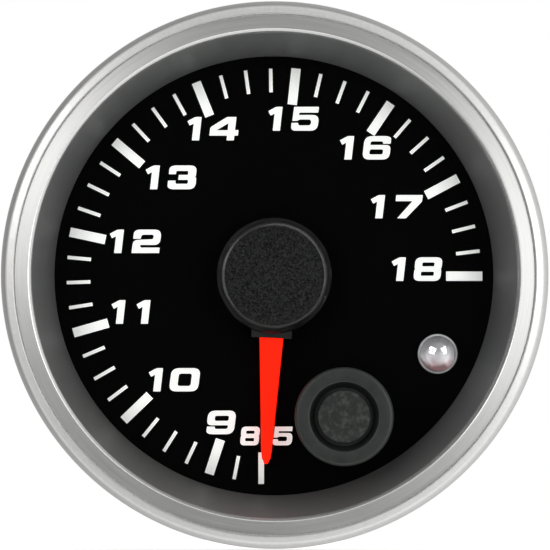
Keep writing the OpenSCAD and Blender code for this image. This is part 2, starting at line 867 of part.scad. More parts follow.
// Stem of the button: slides in the grommet and pushes on the switch
module button_stem() {
    color([0.12, 0.12, 0.12])
        at_xz([button_x, button_z])
            turned()
                polygon([
                    [0, y_button + button_t / 3], [stem_r, y_button + button_t / 3],
                    [stem_r, y_collar], [stem_r + collar_out, y_collar],
                    [stem_r + collar_out, y_collar + collar_t], [stem_r, y_collar + collar_t],
                    [stem_r, y_stem_rear], [0, y_stem_rear]
                ]);
}

// Cap of the button, with a rounded edge and a socket for the stem
module button_cap() {
    edge = button_t / 3;
    r = button_d / 2;
    color([0.07, 0.07, 0.07])
        at_xz([button_x, button_z])
            turned()
                difference() {
                    union() {
                        translate([0, y_button])
                            square([r - edge, button_t]);
                        translate([0, y_button + edge])
                            square([r, button_t - edge]);
                        translate([r - edge, y_button + edge])
                            quarter_disc(edge);
                    }
                    translate([0, y_button + button_t / 3])
                        square([stem_r + press_fit, button_t]);
                }
}

// Grommet in the lens: flange, neck, rear lip, a well round the button and a guide for the stem
module button_grommet() {
    edge = grommet_t / 2;
    r = grommet_d / 2;
    color([0.1, 0.1, 0.1])
        at_xz([button_x, button_z])
            turned()
                difference() {
                    union() {
                        translate([0, y_grommet])
                            square([r - edge, grommet_t]);
                        translate([0, y_grommet + edge])
                            square([r, edge]);
                        translate([r - edge, y_grommet + edge])
                            quarter_disc(edge);
                        translate([0, y_lens - over])
                            square([neck_r, lens_t + 2 * over]);
                        translate([0, y_gasket])
                            square([neck_r + neck_lip, neck_lip_t]);
                    }
                    translate([0, y_grommet - over])
                        square([well_r, y_web - y_grommet + over]);
                    translate([0, y_web - over])
                        square([stem_r + run_fit, web_t + 2 * over]);
                }
}

// Hub cap: shell with a round shoulder, a collar inside and a slot for the pointer's holder
module hub_cap() {
    flat_r = cap_r - cap_shoulder;
    inner_r = cap_r - cap_wall;
    collar_r = spigot_r + press_fit;
    y_shoulder = y_cap + cap_shoulder;
    y_skirt = y_hub - seat_fit;
    color([0.16, 0.16, 0.17])
        to_angle(pointer_rest_a)
            difference() {
                turned()
                    difference() {
                        union() {
                            polygon([
                                [0, y_cap], [flat_r, y_cap], [flat_r, y_shoulder],
                                [cap_r, y_shoulder], [cap_r, y_skirt], [0, y_skirt]
                            ]);
                            translate([flat_r, y_shoulder])
                                quarter_disc(cap_shoulder);
                        }
                        polygon([
                            [0, y_cap_in], [collar_r, y_cap_in], [collar_r, y_hub_front],
                            [spigot_r + cap_wall, y_hub_front], [spigot_r + cap_wall, y_cap_in],
                            [inner_r, y_cap_in], [inner_r, y_hub], [0, y_hub]
                        ]);
                    }
                slab(y_holder - holder_h - seat_fit, y_hub)
                    translate([-holder_w / 2 - seat_fit, 0])
                        square([holder_w + 2 * seat_fit, cap_d]);
            }
}

// Outline of the pointer, straight up: a tapered blade with a rounded point
module needle_outline(grow) {
    half = needle_w / 2 + grow;
    half_tip = needle_tip_w / 2 + grow;
    side = [
        [half, needle_root_r - grow], [half, holder_reach], [half_tip, tip_reach - needle_point_len],
        [half_tip * 0.8, tip_reach - needle_point_len * 0.4], [needle_end_r * 0.8, tip_reach - needle_end_r * 0.7]
    ];
    polygon(concat(side, [for (k = [len(side) - 1:-1:0]) [-side[k][0], side[k][1]]]));
    translate([0, tip_reach - needle_end_r])
        circle(needle_end_r);
}

// Hub of the pointer: disc with a spigot for the cap, a holder for the needle, a bore for the
// shaft and two holes for the balance weights
module pointer_hub() {
    color([0.08, 0.08, 0.08])
        to_angle(pointer_rest_a)
            difference() {
                union() {
                    slab(y_hub_front, y_hub)
                        circle(hub_r);
                    slab(y_cap_in, y_hub_front + over)
                        circle(spigot_r);
                    slab(y_holder - holder_h, y_holder)
                        translate([-holder_w / 2, 0])
                            square([holder_w, holder_reach]);
                }
                slab(y_needle - needle_t - press_fit, y_needle + press_fit)
                    needle_outline(press_fit);
                slab(y_hub_front, y_hub + over)
                    circle(shaft_r + press_fit);
                balance_places(y_hub_front - over, y_hub + over, press_fit);
            }
}

// The two balance weights, or the holes for them, opposite the needle
module balance_places(y0, y1, grow) {
    for (s = [-1, 1])
        slab(y0, y1)
            translate([s * balance_d * 0.75, -balance_at])
                circle(balance_d / 2 + grow);
}

module balance_weights() {
    color("darkgray")
        to_angle(pointer_rest_a)
            balance_places(y_hub_front, y_hub, 0);
}

module pointer_needle() {
    color("red")
        to_angle(pointer_rest_a)
            slab(y_needle - needle_t, y_needle)
                needle_outline(0);
}

// Shaft of the pointer, from its bearing in the movement's floor to the hub
module pointer_shaft() {
    color("lightgray")
        slab(y_hub_front, y_floor + bearing_depth - run_fit)
            circle(shaft_r);
}

// Direction of the middle spindle from the shaft and of the rotor from the middle spindle
mid_dir = atan2(mid_along, mid_across);
rotor_dir = atan2(rotor_at - mid_along, -mid_across);
wheel_head_share = 0.7;
wheel_foot_share = 1.3;
leaf_head_share = 1;
leaf_foot_share = 1.1;

// Wheel on the pointer shaft, with a hub and five holes
module output_wheel() {
    web_r = out_module * out_teeth / 2;
    color("ivory")
        to_angle(mv_a)
            difference() {
                union() {
                    slab(y_out_wheel, y_out_rear)
                        rotate(mid_dir)
                            toothed(out_teeth, out_module, wheel_head_share, wheel_foot_share);
                    slab(y_out_rear - out_wheel_t / 2, y_mid_rear)
                        circle(shaft_r * 2.4);
                }
                slab(y_out_wheel - over, y_mid_rear + over) {
                    circle(shaft_r + press_fit);
                    for (k = [0:4])
                        rotate(k * 72)
                            translate([web_r * 0.58, 0])
                                circle(web_r * 0.21);
                }
            }
}

// Middle spindle: a wheel and a pinion moulded as one piece
module middle_wheel() {
    web_r = mid_module * mid_teeth / 2;
    color("wheat")
        to_angle(mv_a)
            at_xz(mid_xz)
                difference() {
                    union() {
                        slab(y_out_wheel, y_mid_wheel + mid_wheel_t / 4)
                            rotate(mid_dir + 180 + 180 / mid_leaves)
                                toothed(mid_leaves, out_module, leaf_head_share, leaf_foot_share);
                        slab(y_mid_wheel, y_mid_rear)
                            rotate(rotor_dir)
                                toothed(mid_teeth, mid_module, wheel_head_share, wheel_foot_share);
                        slab(y_mv_in - bearing_depth + run_fit, y_mid_rear + mv_plate * 2)
                            circle(spindle_r);
                    }
                    slab(y_mid_wheel - over, y_mid_rear + over)
                        for (k = [0:3])
                            rotate(k * 90)
                                translate([web_r * 0.58, 0])
                                    circle(web_r * 0.24);
                }
}

// Spindle of the rotor with its pinion and the disc on which the magnet sits
module rotor_pinion() {
    color("wheat")
        to_angle(mv_a)
            at_xz(rotor_xz) {
                slab(y_mid_wheel - run_gap / 4, y_magnet - run_gap / 4)
                    rotate(rotor_dir + 180 + 180 / rotor_leaves)
                        toothed(rotor_leaves, mid_module, leaf_head_share, leaf_foot_share);
                slab(y_magnet - run_gap / 4, y_magnet)
                    circle(magnet_r / 2);
                slab(y_mv_in - bearing_depth + run_fit, y_floor + bearing_depth - run_fit)
                    circle(spindle_r);
            }
}

module rotor_magnet() {
    color("dimgray")
        to_angle(mv_a)
            at_xz(rotor_xz)
                slab(y_magnet, y_magnet_rear)
                    difference() {
                        circle(magnet_r);
                        circle(spindle_r + press_fit);
                    }
}

// Stator: a ring round the magnet, two bars through the coils and a bar that joins them
module stator_plate() {
    color("slategray")
        to_angle(mv_a)
            slab(y_stator, y_stator + stator_t)
                difference() {
                    union() {
                        translate(rotor_xz)
                            circle(magnet_r + air_gap + stator_ring_w);
                        for (s = [-1, 1])
                            translate([s * coil_at - stator_bar / 2, stator_low])
                                square([stator_bar, core_high + stator_bar - stator_low]);
                        translate([-coil_at, stator_low])
                            square([2 * coil_at, stator_bar]);
                        translate([-coil_at, core_high])
                            square([2 * coil_at, stator_bar]);
                        translate([-stator_bar / 2, stator_low])
                            square([stator_bar, rotor_at - stator_low]);
                    }
                    translate(rotor_xz)
                        circle(magnet_r + air_gap);
                    stator_places()
                        circle(stator_peg_r + press_fit);
                }
}

// Places of the four posts that carry the stator
module stator_places() {
    for (z = [stator_low + stator_bar / 2, core_high + stator_bar / 2], s = [-1, 1])
        translate([s * coil_at / 2, z])
            children();
}

// Formers of the two coils: a tube with an end plate at each end, round the stator's bars
module coil_formers() {
    color("black")
        to_angle(mv_a)
            for (s = [-1, 1])
                translate([s * coil_at, y_coil, 0])
                    difference() {
                        union() {
                            translate([0, 0, core_low])
                                cylinder(h = core_high - core_low, d = former_d);
                            former_plate(core_low + former_end / 2);
                            former_plate(core_high - former_end / 2);
                        }
                        translate([0, 0, core_low])
                            cube([stator_bar + 2 * run_fit, stator_t + 2 * run_fit, 2 * core_high], center = true);
                        for (k = [0, 1])
                            translate([s * k * coil_d / 3, 0, terminal_z])
                                rotate([90, 0, 0])
                                    translate([0, 0, stator_t])
                                        cylinder(h = coil_d, d = terminal_d + 2 * press_fit);
                    }
}

// One end plate of a coil former
module former_plate(z) {
    translate([0, 0, z])
        cube([coil_d, coil_d, former_end], center = true);
}

module coil_windings() {
    color("chocolate")
        to_angle(mv_a)
            for (s = [-1, 1])
                translate([s * coil_at, y_coil, core_low + former_end])
                    difference() {
                        cylinder(h = core_high - core_low - 2 * former_end, d = coil_d - 2 * run_fit);
                        translate([0, 0, -over])
                            cylinder(h = core_high, d = former_d + 2 * press_fit);
                    }
}

// The movement's terminals, from the coil formers through the cover into the front board
module movement_terminals() {
    color("gold")
        to_angle(mv_a)
            slab(y_board + board_t / 4, y_coil - stator_t)
                for (x = terminal_x)
                    translate([x, terminal_z])
                        circle(terminal_d / 2);
}

// Cover of the movement: plate with the shaft's sleeve, two locating pegs and blind bearings
module movement_cover() {
    color([0.9, 0.9, 0.88])
        to_angle(mv_a)
            difference() {
                union() {
                    slab(y_mv, y_mv_in)
                        mv_outline(0);
                    slab(y_guide + seat_fit, y_mv + over)
                        circle(sleeve_d / 2);
                    for (s = [-1, 1])
                        slab(y_board + seat_fit, y_mv + over)
                            translate([s * peg_x, 0])
                                circle(peg_r);
                }
                slab(y_guide - over, y_mv_in + over)
                    circle(shaft_r + run_fit);
                slab(y_mv_in - bearing_depth, y_mv_in + over) {
                    translate(mid_xz)
                        circle(spindle_r + run_fit);
                    translate(rotor_xz)
                        circle(spindle_r + run_fit);
                }
                slab(y_mv - over, y_mv_in + over)
                    for (x = terminal_x)
                        translate([x, terminal_z])
                            circle(terminal_d / 2 + seat_fit);
            }
}

// Housing of the movement: floor, wall, bearings and the posts that carry the stator
module movement_base() {
    y_mid_post = y_mid_rear + run_gap;
    color([0.82, 0.82, 0.8])
        to_angle(mv_a)
            difference() {
                union() {
                    slab(y_mv_in, y_mv_rear)
                        difference() {
                            mv_outline(0);
                            mv_outline(mv_wall);
                        }
                    slab(y_floor, y_mv_rear)
                        mv_outline(0);
                    slab(y_mid_post, y_floor + over)
                        translate(mid_xz)
                            circle(post_r);
                    slab(y_floor - mv_plate, y_floor + over)
                        circle(shaft_r * 2);
                    slab(y_stator + stator_t, y_floor + over)
                        stator_places()
                            circle(stator_bar / 2);
                    slab(y_stator - stator_t / 4, y_floor + over)
                        stator_places()
                            circle(stator_peg_r);
                }
                slab(y_mid_post - over, y_mid_rear + mv_plate * 2 + run_fit)
                    translate(mid_xz)
                        circle(spindle_r + run_fit);
                slab(y_floor - mv_plate - over, y_floor + bearing_depth)
                    circle(shaft_r + run_fit);
                slab(y_floor - over, y_floor + bearing_depth)
                    translate(rotor_xz)
                        circle(spindle_r + run_fit);
            }
}

// Plastic strips of the pins that link the boards, one on each board
module link_strips() {
    color([0.05, 0.05, 0.05])
        for (y0 = [y_shelf, y_main - link_strip_t])
            slab(y0, y0 + link_strip_t)
                difference() {
                    translate([link_x, link_z])
                        square([2 * link_pitch, link_rows * link_pitch], center = true);
                    link_places()
                        square(link_pin + 2 * press_fit, center = true);
                }
}

module link_pins() {
    color("gold")
        slab(y_board + board_t / 4, y_main_rear + board_t / 2)
            link_places()
                square(link_pin, center = true);
}

// Main board, on posts from the back of the case
module main_board() {
    color("darkgreen")
        slab(y_main, y_main_rear)
            difference() {
                circle(main_r);
                for (a = boss_angles)
                    at_dial(a, boss_at)
                        circle(screw_d / 2 + seat_fit);
                link_places()
                    circle(link_pin);
                pin_places()
                    circle(pin_w * 0.8);
            }
}

// Screws of the main board
module board_screws() {
    color("silver")
        for (a = boss_angles)
            at_xz([boss_at * sin(a), boss_at * cos(a)])
                difference() {
                    union() {
                        slab(y_main - screw_head_t, y_main)
                            circle(screw_head_d / 2);
                        slab(y_main - over, y_screw)
                            circle(screw_d / 2);
                    }
                    slab(y_main - screw_head_t - over, y_main - screw_head_t / 2)
                        for (b = [0, 90])
                            rotate(b)
                                square([screw_d, screw_head_t / 3], center = true);
                }
}

// Control chip: flat body with leads on four sides
module control_chip() {
    pitch = chip_w / (chip_leads + 1);
    color([0.08, 0.08, 0.09])
        at_xz(chip_xz) {
            slab(y_main - chip_h, y_main - chip_h / 8)
                square(chip_w, center = true);
            slab(y_main - chip_h / 4, y_main)
                for (b = [0:90:270], k = [1:chip_leads])
                    rotate(b)
                        translate([k * pitch - chip_w / 2 - pitch / 4, chip_w / 2 - pitch])
                            square([pitch / 2, pitch * 2]);
        }
}

// Capacitor: square foot and round can
module power_capacitor() {
    foot_t = can_d / 6;
    color("gainsboro")
        at_xz(can_xz) {
            slab(y_main_rear, y_main_rear + foot_t)
                square(can_d * 1.04, center = true);
            slab(y_main_rear + foot_t, y_main_rear + can_h)
                circle(can_d / 2);
        }
}

// Voltage regulator: body, heat tab and two leads
module voltage_regulator() {
    tab_t = reg_h / 4;
    color([0.1, 0.1, 0.1])
        at_xz(reg_xz) {
            slab(y_main_rear, y_main_rear + reg_h)
                square([reg_w, reg_w * 0.9], center = true);
            slab(y_main_rear, y_main_rear + tab_t)
                translate([0, reg_w * 0.45])
                    square([reg_w * 0.8, reg_w * 0.4], center = true);
            for (s = [-1, 1])
                slab(y_main_rear, y_main_rear + tab_t)
                    translate([s * reg_w / 3, -reg_w * 0.55])
                        square([reg_w / 8, reg_w * 0.3], center = true);
        }
}

// Places of the socket's pins
module pin_places() {
    for (c = [0:pin_cols - 1], s = [-0.5, 0.5])
        translate([(c - (pin_cols - 1) / 2) * pin_pitch, socket_z + s * pin_pitch])
            children();
}

// Wiring socket: shell on the main board that stands out through the back of the case
module wiring_socket() {
    y_well = y_socket - (y_socket - y_main_rear) * socket_share;
    color("whitesmoke")
        difference() {
            slab(y_main_rear, y_socket)
                translate([0, socket_z])
                    square([socket_w, socket_h], center = true);
            slab(y_well, y_socket + over)
                translate([0, socket_z])
                    square([socket_w - 2 * socket_wall, socket_h - 2 * socket_wall], center = true);
            slab(y_socket - latch_depth, y_socket + over)
                translate([0, socket_z + socket_h / 2])
                    square([latch_w, 4 * socket_wall], center = true);
            slab(y_main_rear - over, y_socket)
                pin_places()
                    square(pin_w + 2 * press_fit, center = true);
        }
}

module socket_pins() {
    color("gold")
        slab(y_main - board_t / 2, y_pin_tip)
            pin_places()
                square(pin_w, center = true);
}

// Case: cup with a flared mouth for the trim ring, ribs that carry the front board, posts for
// the main board, a key for the dial, and openings for the socket and the studs
module case_cup() {
    mouth_r = cavity_r - seat_fit / 2;
    flare = ring_wall + seat_fit;
    color([0.09, 0.09, 0.1])
        difference() {
            union() {
                turned()
                    polygon([
                        [mouth_r, y_mouth], [mouth_r, -swage_t],
                        [case_r - relief_depth, -swage_t], [case_r - relief_depth, relief_w],
                        [case_r, relief_w], [case_r, case_depth - back_chamfer],
                        [case_r - back_chamfer, case_depth], [0, case_depth], [0, y_back],
                        [bore_r, y_back], [bore_r, y_dial], [cone_r(y_dial) + flare, y_dial],
                        [cone_r(y_mouth) + flare, y_mouth]
                    ]);
                for (k = [0:rib_count - 1])
                    slab(y_shelf, y_back + over)
                        rotate((k + 0.5) * 360 / rib_count)
                            translate([rib_r, -rib_w / 2])
                                square([rib_in + case_wall / 2, rib_w]);
                slab(y_dial, y_back + over)
                    translate([-key_w / 2, bore_r - key_in])
                        square([key_w, key_in + case_wall / 2]);
                for (a = boss_angles)
                    slab(y_main_rear, y_back + over)
                        at_dial(a, boss_at)
                            circle(boss_d / 2);
            }
            for (a = boss_angles)
                slab(y_main_rear - over, y_screw + screw_d / 4)
                    at_dial(a, boss_at)
                        circle(screw_d / 2 + press_fit);
            slab(y_back - over, case_depth + over) {
                translate([0, socket_z])
                    square([socket_w + 2 * pass_fit, socket_h + 2 * pass_fit], center = true);
                for (s = [-1, 1])
                    translate([s * stud_x, 0])
                        circle(stud_r + seat_fit);
            }
        }
}

// The two mounting studs, each with a flat head inside the case and a chamfered end
module mounting_studs() {
    tip = stud_r / 4;
    color("silver")
        for (s = [-1, 1])
            at_xz([s * stud_x, 0])
                turned()
                    polygon([
                        [0, y_back - stud_head_t], [stud_head_d / 2, y_back - stud_head_t],
                        [stud_head_d / 2, y_back], [stud_r, y_back], [stud_r, y_stud_end - tip],
                        [stud_r - tip, y_stud_end], [0, y_stud_end]
                    ]);
}

// Hexagon nuts that hold the studs to the case
module stud_nuts() {
    color("silver")
        for (s = [-1, 1])
            at_xz([s * stud_x, 0])
                slab(case_depth, case_depth + nut_t)
                    difference() {
                        circle(nut_flats / sqrt(3), $fn = 6);
                        circle(stud_r + run_fit);
                    }
}

// Bracket: strip bent to a U that straddles the case, with two slots for the studs. The legs
// taper to feet that press on the rear of the panel.
module mounting_bracket() {
    leg_top = y_bar - bend_r;
    color("dimgray")
        difference() {
            intersection() {
                translate([0, 0, -strip_w / 2])
                    linear_extrude(strip_w)
                        difference() {
                            bracket_outline(leg_out, y_washer, bend_r + strip_t);
                            bracket_outline(leg_in, y_bar, bend_r);
                        }
                translate([-leg_out - over, 0, 0])
                    rotate([90, 0, 90])
                        linear_extrude(2 * (leg_out + over))
                            polygon([
                                [panel_t, -foot_w / 2], [leg_top, -strip_w / 2],
                                [y_washer + over, -strip_w / 2], [y_washer + over, strip_w / 2],
                                [leg_top, strip_w / 2], [panel_t, foot_w / 2]
                            ]);
            }
            slab(y_bar - over, y_washer + over)
                for (s = [-1, 1])
                    translate([s * stud_x, 0]) {
                        square([slot_extra, stud_d + 2 * pass_fit], center = true);
                        for (e = [-1, 1])
                            translate([e * slot_extra / 2, 0])
                                circle(stud_r + pass_fit);
                    }
        }
}

// Outline of the bracket in X and Y: a bar with two legs and round outer corners
module bracket_outline(half_w, y_end, r) {
    translate([-half_w, 0])
        square([2 * half_w, y_end - r]);
    translate([r - half_w, 0])
        square([2 * (half_w - r), y_end]);
    for (s = [-1, 1])
        translate([s * (half_w - r), y_end - r])
            circle(r);
}

// Spring washers: split rings under the thumb nuts
module spring_washers() {
    inner_r = stud_r + seat_fit;
    color("silver")
        for (s = [-1, 1])
            at_xz([s * stud_x, 0])
                slab(y_washer, y_thumb)
                    difference() {
                        circle(inner_r + washer_w);
                        circle(inner_r);
                        rotate(washer_t * 40)
                            translate([inner_r + washer_w / 2, 0])
                                square([washer_w * 2, washer_t / 2], center = true);
                    }
}

// Thumb nuts: plain collar and knurled grip on each stud
module thumb_nuts() {
    r = thumb_d / 2;
    ridge = r * 0.06;
    color("goldenrod")
        for (s = [-1, 1])
            at_xz([s * stud_x, 0])
                difference() {
                    union() {
                        slab(y_thumb, y_knurl + over)
                            circle(r * 0.76);
                        slab(y_knurl, y_knurl + thumb_h)
                            polygon([for (k = [0:2 * thumb_ridges - 1]) let (a = k * 180 / thumb_ridges)
                                (k % 2 == 0 ? r : r - ridge) * [cos(a), sin(a)]]);
                    }
                    slab(y_thumb - over, y_knurl + thumb_h + over)
                        circle(stud_r + run_fit);
                }
}

bezel();
lens();
lens_gasket();
trim_ring();
dial_plate();
dial_scale();
light_guide();
display_board();
backlight_lamps();
warning_lamp();
lamp_leads();
switch_body();
switch_plunger();
button_stem();
button_cap();
button_grommet();
hub_cap();
pointer_hub();
pointer_needle();
balance_weights();
pointer_shaft();
output_wheel();
middle_wheel();
rotor_magnet();
rotor_pinion();
stator_plate();
coil_formers();
coil_windings();
movement_terminals();
movement_cover();
movement_base();
link_strips();
link_pins();
main_board();
board_screws();
control_chip();
power_capacitor();
voltage_regulator();
wiring_socket();
socket_pins();
case_cup();
mounting_studs();
stud_nuts();
mounting_bracket();
spring_washers();
thumb_nuts();
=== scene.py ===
"""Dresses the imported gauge: smooth turned and moulded pieces, procedural finishes and a plain studio stage.

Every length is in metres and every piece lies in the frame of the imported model: the dial looks towards -Y,
+Z is up and +X is to the right as seen from the front.
"""
import math

import bmesh
import bpy
from mathutils import Matrix, Vector


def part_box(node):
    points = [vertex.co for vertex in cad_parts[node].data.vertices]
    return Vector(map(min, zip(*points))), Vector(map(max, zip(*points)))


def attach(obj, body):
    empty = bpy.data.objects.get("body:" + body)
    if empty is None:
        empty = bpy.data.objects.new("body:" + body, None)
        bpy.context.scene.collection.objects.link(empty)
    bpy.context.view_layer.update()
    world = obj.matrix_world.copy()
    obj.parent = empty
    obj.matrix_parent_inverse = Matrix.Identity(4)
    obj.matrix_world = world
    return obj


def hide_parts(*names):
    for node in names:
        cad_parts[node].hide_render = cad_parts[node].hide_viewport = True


bl_info = {
    "name": "Panel gauge dresser",
    "version": (1, 0, 0),
    "blender": (4, 5, 0),
    "location": "View3D > Sidebar > Gauge",
    "description": "Builds the visible pieces, the finishes and the stage of a round panel gauge",
    "category": "Object",
}

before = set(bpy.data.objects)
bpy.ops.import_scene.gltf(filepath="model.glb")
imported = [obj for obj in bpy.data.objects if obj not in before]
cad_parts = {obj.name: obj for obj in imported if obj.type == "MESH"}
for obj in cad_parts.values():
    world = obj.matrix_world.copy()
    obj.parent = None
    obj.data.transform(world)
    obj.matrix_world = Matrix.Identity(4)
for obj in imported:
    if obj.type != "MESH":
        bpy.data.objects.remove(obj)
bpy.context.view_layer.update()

MM = 0.001
FRONT_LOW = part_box("bezel")[0]
HOUSING = "housing"
THREAD_STEPS = 24
# Corners nearer than this are one corner: after a spin, in a copied CAD node, and on a line or a thread
SPUN = 1e-7
COPIED = 1e-6
NEAR = 2e-6


def linear(hex_colour):
    """Turns an sRGB colour such as "C8C8C6" into linear red, green and blue."""
    parts = [int(hex_colour[i:i + 2], 16) / 255 for i in (0, 2, 4)]
    return tuple(c / 12.92 if c <= 0.04045 else ((c + 0.055) / 1.055) ** 2.4 for c in parts)


def length(name, about, value_mm):
    """A size that the user may change, given in millimetres and kept in metres."""
    return bpy.props.FloatProperty(name=name, description=about, default=value_mm * MM, min=0.0,
                                   precision=5, unit="LENGTH", subtype="DISTANCE")


def colour(name, about, hex_colour):
    """A colour that the user may change."""
    return bpy.props.FloatVectorProperty(name=name, description=about, default=linear(hex_colour),
                                         size=3, min=0.0, max=1.0, subtype="COLOR")


def share(name, about, value):
    """A plain number without a unit that the user may change."""
    return bpy.props.FloatProperty(name=name, description=about, default=value, min=0.0, precision=4,
                                   subtype="FACTOR")


def power(name, about, watts):
    """The power of a light, which the user may change."""
    return bpy.props.FloatProperty(name=name, description=about, default=watts, min=0.0, unit="POWER")


class GaugeSizes(bpy.types.PropertyGroup):
    """Sizes of the dressed pieces."""
    bead_w: length("Bead width", "Width of the outer bead of the bezel", 1.42)
    bead_inner: length("Bead inner rounding", "Rounding of the bead towards the dial", 0.12)
    bead_slope: length("Bead slope", "How far the bead falls before it rolls over the rim", 0.24)
    bead_outer: length("Bead outer rounding", "Rounding of the bead at the rim", 0.5)
    groove_w: length("Groove width", "Width of the groove inside the bead", 0.1)
    groove_depth: length("Groove depth", "Depth of the groove inside the bead", 0.12)
    face_w: length("Brushed ring width", "Width of the brushed ring of the bezel", 1.46)
    face_lean: length("Brushed ring lean", "How far back the outer edge of the brushed ring lies", 0.14)
    chamfer_w: length("Chamfer width", "Width of the bright chamfer at the opening", 0.32)
    chamfer_depth: length("Chamfer depth", "Depth of the bright chamfer at the opening", 0.26)
    cap_round: length("Hub cap shoulder", "Width of the hub cap's shoulder", 0.74)
    grommet_round: length("Grommet edge", "Roundness of the grommet's outer edge", 0.42)
    button_round: length("Button edge", "Roundness of the button's edge", 0.22)
    well_slope: length("Well slope", "How much the grommet's well narrows towards its floor", 0.55)
    needle_edge: length("Needle edge", "Bevel along the needle's upper edges", 0.16)
    soft_edge: length("Soft edge", "Rounding of moulded and pressed edges", 0.12)
    number_t: length("Print thickness", "Thickness of the printed numbers", 0.04)
    thread_pitch: length("Thread pitch", "Pitch of the studs' threads", 0.7)
    number_lean: bpy.props.FloatProperty(
        name="Lean of the numbers", description="Slant of the printed numbers",
        default=math.radians(6.5), subtype="ANGLE", unit="ROTATION")


class GaugeColours(bpy.types.PropertyGroup):
    """Colours of the finishes."""
    aluminium: colour("Aluminium", "Spun aluminium of the bezel", "E9E9E7")
    ring: colour("Ring paint", "Satin paint of the ring round the dial", "7E7F7F")
    dial: colour("Dial ink", "Black ink of the dial", "030303")
    print_white: colour("White ink", "Ink of the scale and the numbers", "FAFAF8")
    needle: colour("Needle", "Glowing red acrylic of the needle", "FF1A00")
    hub: colour("Hub cap", "Grained plastic of the hub cap", "131313")
    rubber: colour("Rubber", "Rubber of the button and its grommet", "2A2D2B")
    moulded_black: colour("Black plastic", "Moulded black plastic", "141414")
    case_black: colour("Housing cup plastic", "Fine grained plastic of the cup", "181819")
    off_white: colour("Off-white plastic", "Moulded housing of the movement", "DEDDD6")
    acetal: colour("Acetal", "Natural acetal of the wheels", "E4DFCF")
    solder_mask: colour("Solder mask", "Green coating of the boards", "0B4A26")
    zinc: colour("Zinc", "Zinc plated steel", "B9BCBE")
    steel: colour("Steel", "Ground and rolled steel", "A3A5A8")
    brass: colour("Brass", "Turned brass", "C9A25A")
    tin: colour("Tin", "Tinned contacts", "C9C8C0")
    copper: colour("Copper", "Enamelled copper wire", "9A4A22")
    nylon: colour("Nylon", "Natural nylon of the socket", "DAD6C8")
    ferrite: colour("Ferrite", "Plastic bonded ferrite", "37373A")
    floor: colour("Floor", "Matt floor", "F4F4F2")


class GaugeStage(bpy.types.PropertyGroup):
    """Camera and light."""
    distance: length("Camera distance", "Distance from the bezel to the camera", 1500)
    frame_w: length("Frame width", "Width of the picture at the front of the bezel", 60.25)
    aside: share("Aside", "How far left the camera stands, as a slope", 0.0136)
    below: share("Below", "How far down the camera stands, as a slope", 0.0151)
    tent: share("Tent", "Brightness of the light tent round the gauge", 1.0)
    right_power: power("Right light", "Power of the light on the right", 0.42)
    left_power: power("Left light", "Power of the light at the upper left", 0.36)
    window_power: power("Windows", "Power of the windows mirrored by the lamp", 14.0)


# Helpers for shapes

def as_mesh(name, bm):
    """Turns a finished bmesh into a mesh."""
    mesh = bpy.data.meshes.new(name)
    bm.to_mesh(mesh)
    bm.free()
    return mesh


def put(name, data):
    """Puts a new object into the scene, at the origin."""
    placed = bpy.data.objects.new(name, data)
    bpy.context.scene.collection.objects.link(placed)
    return placed


def finish_mesh(name, bm, body, materials, sharp=30.0):
    """Makes the object of a finished mesh: outward faces, smooth shading with sharp edges, its body."""
    bmesh.ops.recalc_face_normals(bm, faces=bm.faces)
    piece = place_mesh(as_mesh(name, bm), body, materials, sharp)
    even = piece.modifiers.new("even shading", "WEIGHTED_NORMAL")
    even.keep_sharp = True
    return piece


def place_mesh(mesh, body, materials, sharp):
    """Puts a mesh into the scene under its own name and lets it ride on a body."""
    mesh.polygons.foreach_set("use_smooth", [True] * len(mesh.polygons))
    mesh.set_sharp_from_angle(angle=math.radians(sharp))
    for material in materials:
        mesh.materials.append(material)
    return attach(put(mesh.name, mesh), body)


def spin_profile(profile, steps=144, centre=(0.0, 0.0), closed=True, segments=6):
    """Turns a profile of (radius, level, rounding) about a line along Y. A profile that starts and ends
    on the line is left open. Corners with a rounding are bevelled after the spin."""
    bm = bmesh.new()
    points = [bm.verts.new((r, y, 0.0)) for r, y, _ in profile]
    edges = [bm.edges.new(pair) for pair in zip(points, points[1:])]
    if closed:
        edges.append(bm.edges.new((points[-1], points[0])))
    bmesh.ops.spin(bm, geom=points + edges, cent=(0, 0, 0), axis=(0, 1, 0), angle=math.tau, steps=steps,
                   use_merge=True, use_normal_flip=False, use_duplicate=False)
    bmesh.ops.remove_doubles(bm, verts=bm.verts, dist=SPUN)
    bmesh.ops.recalc_face_normals(bm, faces=bm.faces)
    for r, y, rounding in profile:
        if rounding > 0:
            ring = [e for e in bm.edges if all(
                abs(math.hypot(v.co.x, v.co.z) - r) < NEAR and abs(v.co.y - y) < NEAR for v in e.verts)]
            bmesh.ops.bevel(bm, geom=ring, offset=rounding, offset_type="OFFSET", affect="EDGES",
                            segments=segments, profile=0.5, material=-1, clamp_overlap=False)
    bmesh.ops.translate(bm, verts=bm.verts, vec=(centre[0], 0.0, centre[1]))
    return bm


def mark_round(bm, centre=(0.0, 0.0)):
    """Gives each face a UV map whose U runs round the axis and whose V runs outwards."""
    layer = bm.loops.layers.uv.new("round")
    per_metre = 10.0
    for face in bm.faces:
        middle = face.calc_center_median()
        base = math.atan2(middle.x - centre[0], middle.z - centre[1])
        for loop in face.loops:
            x, z = loop.vert.co.x - centre[0], loop.vert.co.z - centre[1]
            turn = math.atan2(x, z) - base
            turn = (turn + math.pi) % math.tau - math.pi
            loop[layer].uv = ((base + turn) / math.tau, math.hypot(x, z) * per_metre)


def middle_of(low, high):
    """Where the axis of a piece lies across the dial and up it."""
    return (low.x + high.x) / 2, (low.z + high.z) / 2


def zone_faces(bm, zone):
    """Sets each face's material by a function of its radius, its level and its normal."""
    bm.normal_update()
    for face in bm.faces:
        middle = face.calc_center_median()
        face.material_index = zone(math.hypot(middle.x, middle.z), middle.y, face.normal)


